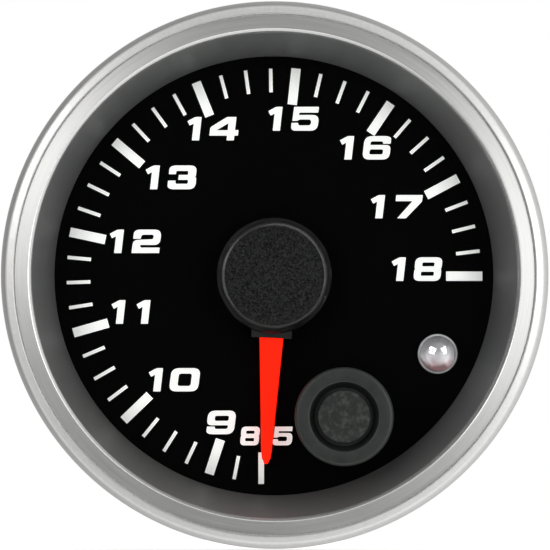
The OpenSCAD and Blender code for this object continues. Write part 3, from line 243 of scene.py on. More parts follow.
def softened(node, name, body, material, width, angle=35.0, segments=2):
    """A merged copy of a CAD node with its sharp edges rounded by a live bevel."""
    bm = bmesh.new()
    bm.from_mesh(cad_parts[node].data)
    flat = math.radians(0.5)
    bmesh.ops.remove_doubles(bm, verts=bm.verts, dist=COPIED)
    bmesh.ops.dissolve_limit(bm, angle_limit=flat, verts=bm.verts, edges=bm.edges)
    piece = place_mesh(as_mesh(name, bm), body, [material], angle)
    bevel = piece.modifiers.new("soft edges", "BEVEL")
    bevel.width = width
    bevel.segments = segments
    bevel.limit_method = "ANGLE"
    bevel.angle_limit = math.radians(angle)
    bevel.harden_normals = True
    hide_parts(node)
    return piece


# Helpers for finishes

def add(tree, kind, values=None, links=None, **settings):
    """Adds a node with its settings, its sockets' values and its links."""
    node = tree.nodes.new(kind)
    for key, value in settings.items():
        setattr(node, key, value)
    for key, value in (values or {}).items():
        node.inputs[key].default_value = value
    for key, source in (links or {}).items():
        tree.links.new(source, node.inputs[key])
    return node


def start_finish(name, base, roughness, metallic=0.0, **sockets):
    """Starts a material: its values that are the same all over, and a node named place that gives the
    piece's own coordinates, in metres."""
    material = bpy.data.materials.new(name)
    material.use_nodes = True
    tree = material.node_tree
    shader = tree.nodes["Principled BSDF"]
    shader.inputs["Base Color"].default_value = (*base, 1.0)
    shader.inputs["Roughness"].default_value = roughness
    shader.inputs["Metallic"].default_value = metallic
    for key, value in sockets.items():
        shader.inputs[key.replace("_", " ")].default_value = value
    add(tree, "ShaderNodeTexCoord", name="place")
    return material, tree, shader


def pattern(tree, grain, where=None):
    """Returns a pattern that is given as a link, or makes noise whose grains are that many mm across. The
    noise's detail and roughness may follow the size."""
    if isinstance(grain, bpy.types.NodeSocket):
        return grain
    size, detail, rough = grain if isinstance(grain, tuple) else (grain, 3.0, 0.55)
    if where is None:
        where = tree.nodes["place"].outputs["Object"]
    return add(tree, "ShaderNodeTexNoise", {"Scale": 1.0 / (size * MM), "Detail": detail, "Roughness": rough},
               {"Vector": where}).outputs["Fac"]


def tint(tree, shader, socket, factor, low, high, start=0.3, end=0.7):
    """Drives a colour or a number of the shader between two values by a pattern."""
    if isinstance(low, tuple):
        ramp = add(tree, "ShaderNodeValToRGB", links={"Fac": factor})
        for element, position, value in zip(ramp.color_ramp.elements, (start, end), (low, high)):
            element.position = position
            element.color = (*value, 1.0)
        result = ramp.outputs["Color"]
    else:
        result = add(tree, "ShaderNodeMapRange",
                     {"From Min": start, "From Max": end, "To Min": low, "To Max": high},
                     {"Value": factor}).outputs["Result"]
    tree.links.new(result, shader.inputs[socket])


def shade(base, factor):
    """A darker or lighter version of a colour."""
    return tuple(min(1.0, c * factor) for c in base)


def vary(tree, shader, base, colour=None, shine=None, bumps=None):
    """Varies a finish. Each row starts with its pattern. Then colour has both its ends, as shares of the
    base or as colours, and shine its two roughnesses; the pattern's range may follow. bumps has its depth
    in mm and its strength."""
    if colour:
        grain, low, high, *span = colour
        if not isinstance(low, tuple):
            low, high = shade(base, low), shade(base, high)
        tint(tree, shader, "Base Color", pattern(tree, grain), low, high, *span)
    if shine:
        grain, low, high, *span = shine
        tint(tree, shader, "Roughness", pattern(tree, grain), low, high, *span)
    if bumps:
        grain, depth, strength = bumps
        bump = add(tree, "ShaderNodeBump", {"Strength": strength, "Distance": depth * MM},
                   {"Height": pattern(tree, grain)})
        tree.links.new(bump.outputs["Normal"], shader.inputs["Normal"])


def finish(name, base, roughness, metallic=0.0, colour=None, shine=None, bumps=None, **sockets):
    """A whole material whose patterns are all plain noise."""
    material, tree, shader = start_finish(name, base, roughness, metallic, **sockets)
    vary(tree, shader, base, colour, shine, bumps)
    return material


def ragged(tree, grain, position, low, high):
    """Rises from 0 to 1 as a position goes from low to high, with an edge that noise makes ragged."""
    wander = 0.8 * MM
    wavy = add(tree, "ShaderNodeMath", {1: wander}, {0: pattern(tree, grain), 2: position},
               operation="MULTIPLY_ADD").outputs["Value"]
    return add(tree, "ShaderNodeMapRange", {"From Min": low, "From Max": high},
               {"Value": wavy}).outputs["Result"]


def dress(node, material):
    """Gives a CAD node its finish."""
    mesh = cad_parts[node].data
    mesh.materials.clear()
    mesh.materials.append(material)
    return material


# Finishes

def brushed_aluminium(colours):
    """Spun aluminium brushed in circles: fine rings that stretch the highlights into fans."""
    # The lines run along the tangent, so the highlight is turned a quarter to stretch across them.
    material, tree, shader = start_finish("brushed spun aluminium", colours.aluminium, 0.33, 1.0,
                                          Anisotropic=0.5, Anisotropic_Rotation=0.25)
    uv = add(tree, "ShaderNodeUVMap", uv_map="round").outputs["UV"]
    # The real lines are 0.05 mm apart; they are drawn at 0.12 mm so that they show.
    stretched = add(tree, "ShaderNodeMapping", {"Scale": (14.0, 830.0, 1.0)}, {"Vector": uv})
    lines = add(tree, "ShaderNodeTexNoise", {"Scale": 1.0, "Detail": 4.0, "Roughness": 0.6},
                {"Vector": stretched.outputs["Vector"]}).outputs["Fac"]
    vary(tree, shader, colours.aluminium, (lines, 0.98, 1.12), (lines, 0.3, 0.36), (lines, 0.0015, 0.5))
    tangent = add(tree, "ShaderNodeTangent", direction_type="UV_MAP", uv_map="round")
    tree.links.new(tangent.outputs["Tangent"], shader.inputs["Tangent"])
    return material


def polished_aluminium(colours):
    """Satin polished aluminium bead: bright and soft, with fine turning marks and handling."""
    return finish("satin polished aluminium", colours.aluminium, 0.33, 1.0,
                  colour=(0.4, 0.85, 0.92), shine=(2.5, 0.29, 0.37), bumps=(0.15, 0.0006, 0.4))


def cut_aluminium(colours):
    """Chamfer turned with a fine tool: nearly a mirror, with faint tool marks."""
    return finish("bright turned chamfer", colours.aluminium, 0.2, 1.0,
                  colour=(0.3, 0.92, 1.0), shine=(0.3, 0.16, 0.24))


def dark_groove(colours):
    """Bottom of the groove: dull aluminium whose colour is darkened, painted shade for the shade inside the
    groove.
    """
    return finish("dull groove aluminium", colours.aluminium, 0.5, 1.0, colour=(0.3, 0.6, 0.9))


def satin_paint(colours):
    """Grey satin paint with a fine orange peel: soft, wide highlights on the ring round the dial, and painted
    shade that darkens it towards the dial.
    """
    material, tree, shader = start_finish("satin grey paint", colours.ring, 0.46, 0.5)
    level = add(tree, "ShaderNodeSeparateXYZ",
                links={"Vector": tree.nodes["place"].outputs["Object"]}).outputs["Y"]
    # Painted shade: the colour darkens towards the dial, standing in for the shade deep inside the ring.
    depth = ragged(tree, 0.25, level, -5.5 * MM, -1.3 * MM)
    vary(tree, shader, colours.ring, (depth, 1.35, 0.65, 0.0, 1.0), (0.8, 0.42, 0.52), (0.35, 0.002, 0.3))
    return material


def dial_ink(colours):
    """Deep black screen-printing ink: nearly no gloss, with the faintest weave of the screen."""
    return finish("black screen print", colours.dial, 0.7, colour=(0.12, 0.6, 1.5), bumps=(0.12, 0.002, 0.3),
                  Specular_IOR_Level=0.03)


def white_ink(colours):
    """White screen-printing ink: flat and bright with a painted glow, and painted shade that greys it and
    dims its glow near the rim.
    """
    # Painted glow: the ink gives a little light of its own so that it shows full white.
    material, tree, shader = start_finish("white screen print", colours.print_white, 0.6,
                                          Specular_IOR_Level=0.2, Emission_Color=(1.0, 1.0, 1.0, 1.0))
    flat = add(tree, "ShaderNodeVectorMath", {1: (1.0, 0.0, 1.0)},
               {0: tree.nodes["place"].outputs["Object"]}, operation="MULTIPLY").outputs["Vector"]
    radius = add(tree, "ShaderNodeVectorMath", links={0: flat}, operation="LENGTH").outputs["Value"]
    # Painted shade: towards the rim the ink greys and its glow dims, standing in for the shadow of the ring
    # round the dial.
    rim = ragged(tree, 0.2, radius, 20.6 * MM, 24.0 * MM)
    vary(tree, shader, colours.print_white, colour=(rim, 1.0, 0.62, 0.0, 1.0))
    tint(tree, shader, "Emission Strength", rim, 0.4, 0.2, 0.0, 1.0)
    return material


def glowing_acrylic(colours):
    """Fluorescent red acrylic: very saturated, with a little light of its own."""
    return finish("fluorescent red acrylic", colours.needle, 0.45, colour=(0.5, 0.93, 1.0),
                  shine=(0.5, 0.4, 0.5), Specular_IOR_Level=0.15, Emission_Color=(1.0, 0.012, 0.0, 1.0),
                  Emission_Strength=0.8)


def grained_plastic(name, base, grain_mm, depth_mm, rough=(0.5, 0.65), spread=(0.75, 1.35), specular=0.4):
    """Moulded plastic with a spark-eroded grain: matt, with fine light and dark specks."""
    grain = (grain_mm, 4.0, 0.65)
    return finish(name, base, rough[0], colour=(grain, *spread, 0.38, 0.7), shine=(4 * grain_mm, *rough),
                  bumps=(grain, depth_mm, 0.7), Specular_IOR_Level=specular)


def mottled_rubber(colours):
    """Worn rubber button: matt black with paler blotches where fingers press."""
    blotch = (0.9, 6.0, 0.75)
    return finish("worn black rubber", colours.rubber, 0.7, colour=(blotch, 0.85, 3.4, 0.47, 0.72),
                  shine=(blotch, 0.62, 0.85), bumps=(0.12, 0.01, 0.5), Specular_IOR_Level=0.3)


def plain_rubber(colours):
    """Moulded black rubber: satin with a soft sheen and a faint grain."""
    return finish("moulded black rubber", colours.rubber, 0.38, colour=(0.3, 0.8, 1.25),
                  shine=(1.5, 0.32, 0.46), bumps=(0.3, 0.006, 0.4), Specular_IOR_Level=0.45)


def lens_glass():
    """Flat clear glass: light goes straight through and each face mirrors a little, more at a slant."""
    white = (1.0, 1.0, 1.0)
    material, tree, shader = start_finish("clear float glass", white, 0.02, 1.0)
    vary(tree, shader, white, shine=(6.0, 0.01, 0.03))
    fresnel = add(tree, "ShaderNodeFresnel", {"IOR": 1.45}).outputs["Fac"]
    # Only the outward side of each face mirrors: light that leaves the glass isn't held back at a slant.
    inside = add(tree, "ShaderNodeNewGeometry").outputs["Backfacing"]
    outside = add(tree, "ShaderNodeMath", {0: 1.0}, {1: inside}, operation="SUBTRACT").outputs["Value"]
    mirror = add(tree, "ShaderNodeMath", links={0: fresnel, 1: outside}, operation="MULTIPLY")
    clear = add(tree, "ShaderNodeBsdfTransparent", {"Color": (0.985, 0.99, 0.985, 1.0)})
    mix = add(tree, "ShaderNodeMixShader", links={
        0: mirror.outputs["Value"], 1: clear.outputs["BSDF"], 2: shader.outputs["BSDF"]})
    tree.links.new(mix.outputs["Shader"], tree.nodes["Material Output"].inputs["Surface"])
    return material


def cast_epoxy(name, base, ior=1.53, rough=0.03):
    """Clear cast resin or acrylic: it bends what lies behind it and lets shadows through."""
    material, tree, shader = start_finish(name, base, rough, IOR=ior, Transmission_Weight=1.0)
    vary(tree, shader, base, shine=(1.0, rough, rough * 2))
    clear = add(tree, "ShaderNodeBsdfTransparent", {"Color": (0.9, 0.9, 0.9, 1.0)})
    shadow = add(tree, "ShaderNodeLightPath").outputs["Is Shadow Ray"]
    mix = add(tree, "ShaderNodeMixShader", links={
        0: shadow, 1: shader.outputs["BSDF"], 2: clear.outputs["BSDF"]})
    tree.links.new(mix.outputs["Shader"], tree.nodes["Material Output"].inputs["Surface"])
    return material


def lamp_reflector(centre):
    """Reflector of the lamp: dull nickel above and darker copper brown below, which is partly the lead
    frame's colour and partly painted shade.
    """
    nickel = linear("B8B8BA")
    # Painted glow: the cup gives a little light of its own, standing in for light that the clear dome keeps
    # from it.
    material, tree, shader = start_finish("nickel and copper lead frame", nickel, 0.4, 0.3,
                                          Emission_Color=(0.55, 0.5, 0.5, 1.0), Emission_Strength=0.05)
    height = add(tree, "ShaderNodeSeparateXYZ",
                 links={"Vector": tree.nodes["place"].outputs["Object"]}).outputs["Z"]
    patches = (0.8, 2.0, 0.55)
    # Painted shade in part: the lower half is darker as well as copper brown.
    above = ragged(tree, patches, height, centre[1] - 0.45 * MM, centre[1] + 0.25 * MM)
    vary(tree, shader, nickel, (above, linear("4C3234"), linear("6E6E72"), 0.0, 1.0), (patches, 0.35, 0.5))
    return material


def plated_steel(colours):
    """Zinc plated steel: soft grey metal with a faint blue and straw bloom and fine rolling marks."""
    bloom = (5.0, 2.0, 0.55)
    return finish("zinc plated steel", colours.zinc, 0.32, 1.0, shine=(0.6, 0.25, 0.42),
                  colour=(bloom, linear("B2B7BC"), linear("C3C1B8")), bumps=(0.12, 0.003, 0.5))


def ground_steel(name, base, rough=0.3):
    """Ground or rolled steel: neutral metal with short fine scratches."""
    material, tree, shader = start_finish(name, base, rough, 1.0)
    lines = add(tree, "ShaderNodeMapping", {"Scale": (1.0, 0.08, 1.0)},
                {"Vector": tree.nodes["place"].outputs["Object"]}).outputs["Vector"]
    scratch = pattern(tree, 0.1, lines)
    vary(tree, shader, base, (2.0, 0.9, 1.0), (scratch, rough - 0.07, rough + 0.1), (scratch, 0.002, 0.4))
    return material


def worn_brass(name, base):
    """Turned brass: warm metal, browner where it has tarnished."""
    tarnish = (1.8, 4.0, 0.55)
    return finish(name, base, 0.28, 1.0, colour=(tarnish, 0.78, 1.0, 0.3, 0.55),
                  shine=(tarnish, 0.36, 0.22, 0.3, 0.55), bumps=(0.1, 0.003, 0.4))


def board_laminate(colours):
    """Glass-fibre board under green solder mask: glossy, with the weave of the cloth showing faintly."""
    material, tree, shader = start_finish("green solder mask", colours.solder_mask, 0.3)
    # The cloth has a thread every 0.5 mm both ways.
    weave = {"Scale": 0.5 / (0.5 * MM) / 3.14, "Distortion": 0.4}
    warp, weft = [add(tree, "ShaderNodeTexWave", weave, {"Vector": tree.nodes["place"].outputs["Object"]},
                      bands_direction=way).outputs["Fac"] for way in "XZ"]
    cloth = add(tree, "ShaderNodeMath", links={0: warp, 1: weft}, operation="MULTIPLY").outputs["Value"]
    vary(tree, shader, colours.solder_mask, (cloth, 0.8, 1.5, 0.0, 1.0), (1.0, 0.22, 0.38),
         (cloth, 0.006, 0.4))
    return material


def wound_wire(colours):
    """Enamelled copper wire in even turns: glossy brown rings one wire apart."""
    material, tree, shader = start_finish("enamelled copper wire", colours.copper, 0.28, 0.85)
    # The wire is 0.05 mm thick; its turns are drawn 0.2 mm apart so that they show.
    turns = add(tree, "ShaderNodeTexWave", {"Scale": 0.5 / (0.2 * MM) / 3.14},
                {"Vector": tree.nodes["place"].outputs["Object"]}, bands_direction="Z").outputs["Fac"]
    vary(tree, shader, colours.copper, (turns, 0.45, 1.2, 0.0, 1.0), (0.5, 0.22, 0.36), (turns, 0.05, 0.8))
    return material


def smooth_plastic(name, base, rough=0.42, glow=0.0):
    """Moulded plastic with a plain satin surface and slight flow marks."""
    return finish(name, base, rough, colour=(3.0, 0.92, 1.06), shine=(3.0, rough - 0.06, rough + 0.08),
                  bumps=(0.2, 0.003, 0.3), Subsurface_Weight=glow,
                  Subsurface_Radius=(0.4 * MM, 0.4 * MM, 0.35 * MM))


def foam_rubber(colours):
    """Closed-cell foam: dull black with small open pores."""
    material, tree, shader = start_finish("black foam rubber", colours.moulded_black, 0.9)
    cells = add(tree, "ShaderNodeTexVoronoi", {"Scale": 1.0 / (0.25 * MM)},
                {"Vector": tree.nodes["place"].outputs["Object"]}).outputs["Distance"]
    vary(tree, shader, colours.moulded_black, colour=(cells, 0.5, 1.8, 0.1, 0.7), bumps=(cells, 0.05, 0.8))
    return material


def studio_floor(colours):
    """Matt pale floor with a barely visible unevenness, brighter to the camera than to the pieces."""
    material, tree, shader = start_finish("matt floor", colours.floor, 0.9,
                                          Emission_Color=(1.0, 1.0, 1.0, 1.0))
    vary(tree, shader, colours.floor, colour=(120.0, 0.98, 1.0))
    seen = add(tree, "ShaderNodeLightPath").outputs["Is Camera Ray"]
    tint(tree, shader, "Emission Strength", seen, 0.1, 0.75, 0.0, 1.0)
    return material


# Operators

class BuildBezel(bpy.types.Operator):
    """Spins the bezel: polished bead, groove darkened by painted shade, brushed ring, bright chamfer and the
    swaged rear
    """
    bl_idname = "gauge.build_bezel"
    bl_label = "Bezel"

    def execute(self, context):
        s, c = context.scene.gauge_sizes, context.scene.gauge_colours
        low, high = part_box("bezel")
        lens_low, lens_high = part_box("lens")
        crest, rear, outer = low.y, high.y, high.x
        face_drop, lens_gap, bead_foot = 0.35 * MM, 0.02 * MM, 0.06 * MM
        swage_in, swage_t, rear_cut, rear_round = 26.05 * MM, 0.5 * MM, 0.4 * MM, 0.1 * MM
        face = crest + face_drop
        groove_out = outer - s.bead_w
        groove_in = groove_out - s.groove_w
        ring_in = groove_in - s.face_w
        opening = ring_in - s.chamfer_w
        seat = lens_high.x + lens_gap
        groove_floor = face + s.face_lean + s.groove_depth
        roll = s.bead_outer * 0.45
        profile = [
            (opening, lens_low.y, 0), (opening, face + s.chamfer_depth, 0.05 * MM),
            (ring_in, face, 0.09 * MM), (groove_in, face + s.face_lean, 0.04 * MM),
            (groove_in, groove_floor, 0), (groove_out, groove_floor, 0),
            (groove_out + bead_foot, crest, s.bead_inner), (outer - s.bead_outer, crest + s.bead_slope, roll),
            (outer, crest + s.bead_slope + s.bead_outer, roll), (outer, rear - rear_cut, rear_round),
            (outer - rear_cut, rear, rear_round), (swage_in, rear, 0), (swage_in, rear - swage_t, 0),
            (seat, rear - swage_t, 0), (seat, lens_low.y, 0),
        ]
        bm = spin_profile(profile, steps=192)
        # The groove's finish paints shade into the groove.
        finishes = [polished_aluminium(c), brushed_aluminium(c), dark_groove(c), cut_aluminium(c)]
        bead, ring, groove, chamfer = range(4)
        beside, below, tilted_forward = 0.005 * MM, 0.01 * MM, -0.3

        def zone(r, y, normal):
            if groove_in - beside < r < groove_out + beside and y < groove_floor + below:
                return groove
            if r < ring_in and y < lens_low.y and normal.y < tilted_forward:
                return chamfer
            return ring if ring_in <= r < groove_in and y < groove_floor else bead

        zone_faces(bm, zone)
        mark_round(bm)
        piece = finish_mesh("bezel_ring", bm, HOUSING, finishes, sharp=50)
        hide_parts("bezel")
        return {"FINISHED"}


class BuildLens(bpy.types.Operator):
    """Finishes the lens, its gasket and the light guide"""
    bl_idname = "gauge.build_lens"
    bl_label = "Lens and gasket"

    def execute(self, context):
        dress("lens", lens_glass())
        dress("lens_gasket", foam_rubber(context.scene.gauge_colours))
        dress("light_guide", cast_epoxy("clear acrylic", (0.96, 0.98, 0.98), 1.49))
        return {"FINISHED"}


class BuildTrimRing(bpy.types.Operator):
    """Spins the satin ring that falls from the lens to the dial"""
    bl_idname = "gauge.build_trim_ring"
    bl_label = "Trim ring"

    def execute(self, context):
        low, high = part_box("trim_ring")
        top, inner, wall, flange, step = 26.65 * MM, 24.13 * MM, 0.6 * MM, 0.6 * MM, 0.3 * MM
        profile = [
            (top, low.y, 0.12 * MM), (high.x, low.y, 0), (high.x, low.y + flange, 0),
            (top + step, low.y + flange, 0), (inner + wall, high.y, 0), (inner, high.y, 0.05 * MM),
        ]
        bm = spin_profile(profile, steps=192)
        paint = satin_paint(context.scene.gauge_colours)
        piece = finish_mesh("cone_ring", bm, HOUSING, [paint], sharp=40)
        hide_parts("trim_ring")
        return {"FINISHED"}


# Outlines of the digits on a grid whose capital height is 24: rows of (across, up, corner radius).
DIGITS = {
    "0": [[(0, 0, 7), (26.7, 0, 7), (26.7, 24, 7), (0, 24, 7)],
          [(7.3, 5.6, 2.6), (19.4, 5.6, 2.6), (19.4, 18.4, 2.6), (7.3, 18.4, 2.6)]],
    "1": [[(0, 0, 0.3), (7.5, 0, 0.3), (7.5, 24, 0.6), (0.9, 24, 1.6), (-6.8, 19.7, 0.6),
           (-3.9, 15.1, 0.6), (0, 17.2, 0.3)]],
    "2": [[(0, 0, 0.4), (27.8, 0, 0.4), (27.8, 5.6, 0.4), (8.4, 5.6, 1.2), (7.6, 8.3, 1.2), (27.7, 8.3, 6),
           (27.7, 24, 7), (0, 24, 6.5), (0, 14.6, 0.8), (7.6, 14.6, 0.6), (8.2, 18.8, 2.2),
           (20.4, 18.8, 2), (20.4, 14.2, 2), (0, 13.4, 5)]],
    "3": [[(0, 0, 6.5), (28, 0, 7), (28, 12, 3.2), (25.8, 12.3, 0.4), (27.3, 12.6, 3), (27.3, 24, 7),
           (0, 24, 6.5), (0, 15.2, 0.8), (7.2, 15.2, 0.6), (7.2, 18.5, 1.2), (19.3, 18.5, 1.4),
           (19.3, 14.5, 1.2), (10.1, 14.5, 0.4), (10.1, 9.5, 0.4), (20, 9.5, 1.4), (20, 5.5, 1.6),
           (7.6, 5.5, 1.4), (7.6, 8.8, 0.6), (0, 8.8, 0.8)]],
    "4": [[(18, 0, 0.4), (25.4, 0, 0.4), (25.4, 4.9, 0.3), (29, 4.9, 0.5), (29, 10.6, 0.5),
           (25.4, 10.6, 0.3), (25.4, 24, 0.6), (16, 24, 1.2), (0, 13.4, 1.6), (0, 4.9, 0.5),
           (18, 4.9, 0.3)],
          [(6.8, 10.4, 0.4), (18, 10.4, 0.3), (18, 17.6, 0.4)]],
    "5": [[(0, 0, 5), (26.7, 0, 7), (26.7, 15.8, 6.5), (6.4, 15.8, 0.6), (6.8, 18.2, 0.4),
           (25.6, 18.2, 0.5), (25.6, 24, 0.6), (0.6, 24, 0.6), (0.4, 9.9, 0.5), (5.6, 9.9, 0.8),
           (7.4, 11.3, 1.4), (19.4, 11.3, 2.8), (19.4, 5.3, 2.8), (7.2, 5.3, 1.2), (6.4, 7.9, 0.6),
           (-0.2, 7.9, 0.8)]],
    "6": [[(0, 0, 7), (26.6, 0, 7), (26.6, 14.9, 5), (6.4, 14.9, 0.8), (6.4, 18.6, 2.4), (18.4, 18.6, 1.6),
           (18.8, 16.2, 0.5), (26.2, 16.2, 0.8), (26.2, 24, 7), (0, 24, 7.5)],
          [(6.4, 5.2, 1.8), (19.6, 5.2, 1.8), (19.6, 10.4, 1.8), (6.4, 10.4, 1.8)]],
    "7": [[(0.2, 24, 0.4), (27.6, 24, 0.5), (27.6, 17.4, 1.2), (12.8, 0, 0.8), (3.8, 0, 0.5),
           (17.6, 17.7, 0.6), (0.2, 17.7, 0.4)]],
    "8": [[(0, 0, 6.5), (27, 0, 6.5), (27, 11.6, 2.6), (25.6, 12.2, 0.6), (27, 12.8, 2.6), (27, 24, 6.5),
           (0, 24, 6.5), (0, 12.8, 2.6), (1.4, 12.2, 0.6), (0, 11.6, 2.6)],
          [(7, 5.2, 1.4), (19.9, 5.2, 1.4), (19.9, 9.4, 1.4), (7, 9.4, 1.4)],
          [(7.4, 14.8, 1.4), (19.5, 14.8, 1.4), (19.5, 18.8, 1.4), (7.4, 18.8, 1.4)]],
}
DIGITS["9"] = [[(26.6 - x, 24 - y, r) for x, y, r in outline] for outline in DIGITS["6"]]

# Place of each printed digit on the dial, in mm from the axis: digit, left, base, width, height.
DIGIT_PLACES = [
    ("1", -0.6, 15.97, 1.55, 2.63), ("5", 1.90, 15.97, 3.05, 2.63),
    ("1", -9.50, 14.90, 1.55, 2.58), ("4", -7.10, 14.90, 3.20, 2.58),
    ("1", 7.28, 12.80, 1.55, 2.58), ("6", 9.78, 12.80, 3.12, 2.58),
    ("1", -14.10, 9.52, 1.55, 2.62), ("3", -11.70, 9.52, 3.18, 2.62),
    ("1", 10.68, 6.33, 1.55, 2.56), ("7", 13.40, 6.33, 2.98, 2.56),
    ("1", -18.05, 2.50, 1.55, 2.58), ("2", -15.66, 2.50, 3.23, 2.58),
    ("1", 12.97, -0.56, 1.55, 2.60), ("8", 15.38, -0.56, 3.14, 2.60),
    ("1", -17.85, -5.28, 1.52, 2.60), ("1", -15.10, -5.28, 1.52, 2.60),
    ("1", -13.75, -12.72, 1.55, 2.56), ("0", -11.48, -12.72, 3.34, 2.56),
    ("9", -7.42, -17.43, 3.22, 2.60),
    ("8", -3.70, -18.65, 2.15, 2.06), ("5", -0.12, -18.65, 2.18, 2.06),
]


class PrintDial(bpy.types.Operator):
    """Finishes the dial and its marks, and prints the numbers"""
    bl_idname = "gauge.print_dial"
    bl_label = "Dial and numbers"

    def execute(self, context):
        s, c = context.scene.gauge_sizes, context.scene.gauge_colours
        dress("dial_plate", dial_ink(c))
        ink = dress("dial_scale", white_ink(c))
        dial_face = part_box("dial_plate")[0].y
        upright = Matrix.Rotation(math.pi / 2, 4, "X")
        all_digits = bmesh.new()
        for digit, left, base, width, height in DIGIT_PLACES:
            mesh = self.digit_mesh(digit, s)
            low, high = self.extent(mesh)
            grow = Matrix.Diagonal((width * MM / (high.x - low.x), height * MM / (high.y - low.y), 1.0, 1.0))
            place = Matrix.Translation((left * MM, dial_face, base * MM))
            mesh.transform(place @ upright @ grow @ Matrix.Translation((-low.x, -low.y, 0.0)))
            all_digits.from_mesh(mesh)
            bpy.data.meshes.remove(mesh)
        bmesh.ops.remove_doubles(all_digits, verts=all_digits.verts, dist=SPUN)
        piece = finish_mesh("dial_numbers", all_digits, HOUSING, [ink], sharp=30)
        return {"FINISHED"}

    def digit_mesh(self, digit, sizes):
        """One digit as a flat filled curve with its thickness, turned into a mesh."""
        curve = bpy.data.curves.new("digit", "CURVE")
        curve.dimensions = "2D"
        curve.fill_mode = "BOTH"
        curve.extrude = sizes.number_t / 2
        slope = math.tan(sizes.number_lean)
        for outline in DIGITS[digit]:
            points = [(x + y * slope, y) for x, y in self.rounded(outline)]
            spline = curve.splines.new("POLY")
            spline.points.add(len(points) - 1)
            for point, (x, y) in zip(spline.points, points):
                point.co = (x * MM, y * MM, 0.0, 1.0)
            spline.use_cyclic_u = True
        holder = bpy.data.objects.new("digit", curve)
        mesh = bpy.data.meshes.new_from_object(holder)
        bpy.data.objects.remove(holder)
        bpy.data.curves.remove(curve)
        mesh.transform(Matrix.Translation((0.0, 0.0, sizes.number_t / 2)))
        return mesh

    def rounded(self, outline):
        """Points of an outline whose corners are rounded, wide ones in more steps."""
        points = []
        for i, (x, y, r) in enumerate(outline):
            here = Vector((x, y))
            before = Vector(outline[i - 1][:2]) - here
            after = Vector(outline[(i + 1) % len(outline)][:2]) - here
            cut_before = min(r, before.length * 0.5)
            cut_after = min(r, after.length * 0.5)
            start = here + before.normalized() * cut_before
            end = here + after.normalized() * cut_after
            wide, many, few = 2, 7, 4
            count = many if r > wide else few
            for k in range(count + 1):
                t = k / count
                # A point between a corner and its round arc
                point = start * (1 - t) ** 2 + here * 2 * t * (1 - t) + end * t ** 2
                points.append((point.x, point.y))
        return points

    def extent(self, mesh):
        """Lowest and highest corner of a flat mesh."""
        xs = [v.co.x for v in mesh.vertices]
        ys = [v.co.y for v in mesh.vertices]
        return Vector((min(xs), min(ys), 0)), Vector((max(xs), max(ys), 0))


class BuildPointer(bpy.types.Operator):
    """Builds the needle, its holder, the hub cap and the balance weights"""
    bl_idname = "gauge.build_pointer"
    bl_label = "Pointer"

    def execute(self, context):
        s, c = context.scene.gauge_sizes, context.scene.gauge_colours
        hub_plastic = grained_plastic("grained dark plastic", c.hub, 0.22, 0.04, (0.5, 0.68),
                                      (0.1, 5.0), 0.08)
        shoulder_plastic = smooth_plastic("dark plastic shoulder", shade(c.hub, 1.3), 0.2)
        low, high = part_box("hub_cap")
        outer, wall, lean = high.x, 0.6 * MM, 0.08 * MM
        shoulder, skirt, soft = 0.7 * MM, 1.0 * MM, 0.1 * MM
        profile = [
            (0.0, low.y, 0), (outer - s.cap_round, low.y, 0.26 * MM), (outer - lean, low.y + shoulder, soft),
            (outer, low.y + skirt, soft), (outer, high.y, 0.06 * MM), (outer - wall, high.y, 0),
            (outer - wall, low.y + wall, 0), (0.0, low.y + wall, 0),
        ]
        bm = spin_profile(profile, steps=128, closed=False)
        cap = finish_mesh("pointer_cap", bm, "pointer", [hub_plastic, shoulder_plastic], sharp=50)
        self.cut_slot(cap, high.y)
        top_edge, top_depth = outer - s.cap_round - 0.2 * MM, low.y + 0.4 * MM
        for face in cap.data.polygons:
            beside = math.hypot(face.center.x, face.center.z) > top_edge
            face.material_index = int(beside or face.center.y > top_depth)
        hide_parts("hub_cap")
        softened("pointer_hub", "needle_holder", "pointer",
                 smooth_plastic("moulded black plastic", c.moulded_black, 0.4), s.soft_edge)
        softened("pointer_needle", "needle_blade", "pointer", glowing_acrylic(c), s.needle_edge)
        dress("balance_weights", worn_brass("turned brass weights", c.brass))
        dress("pointer_shaft", ground_steel("ground steel shaft", c.steel, 0.22))
        return {"FINISHED"}

    def cut_slot(self, cap, skirt_end):
        """Cuts the slot for the needle's holder into the skirt."""
        width, depth, reach, cut_in = 4.45 * MM, 3.0 * MM, 6 * MM, 1.79 * MM
        needle_turn = math.radians(182.5)
        bm = bmesh.new()
        bmesh.ops.create_cube(bm, size=1.0)
        bmesh.ops.scale(bm, vec=(width, depth, reach), verts=bm.verts)
        bmesh.ops.translate(bm, vec=(0.0, skirt_end + depth / 2 - cut_in, reach), verts=bm.verts)
        bmesh.ops.rotate(bm, cent=(0, 0, 0), matrix=Matrix.Rotation(needle_turn, 3, "Y"), verts=bm.verts)
        mesh = as_mesh("slot", bm)
        cutter = put("slot", mesh)
        cut = cap.modifiers.new("slot", "BOOLEAN")
        cut.operation = "DIFFERENCE"
        cut.solver = "EXACT"
        cut.object = cutter
        bpy.context.view_layer.update()
        shaped = bpy.data.meshes.new_from_object(cap.evaluated_get(bpy.context.evaluated_depsgraph_get()))
        cap.modifiers.clear()
        cap.data = shaped
        shaped.set_sharp_from_angle(angle=math.radians(50))
        bpy.data.objects.remove(cutter)
        bpy.data.meshes.remove(mesh)


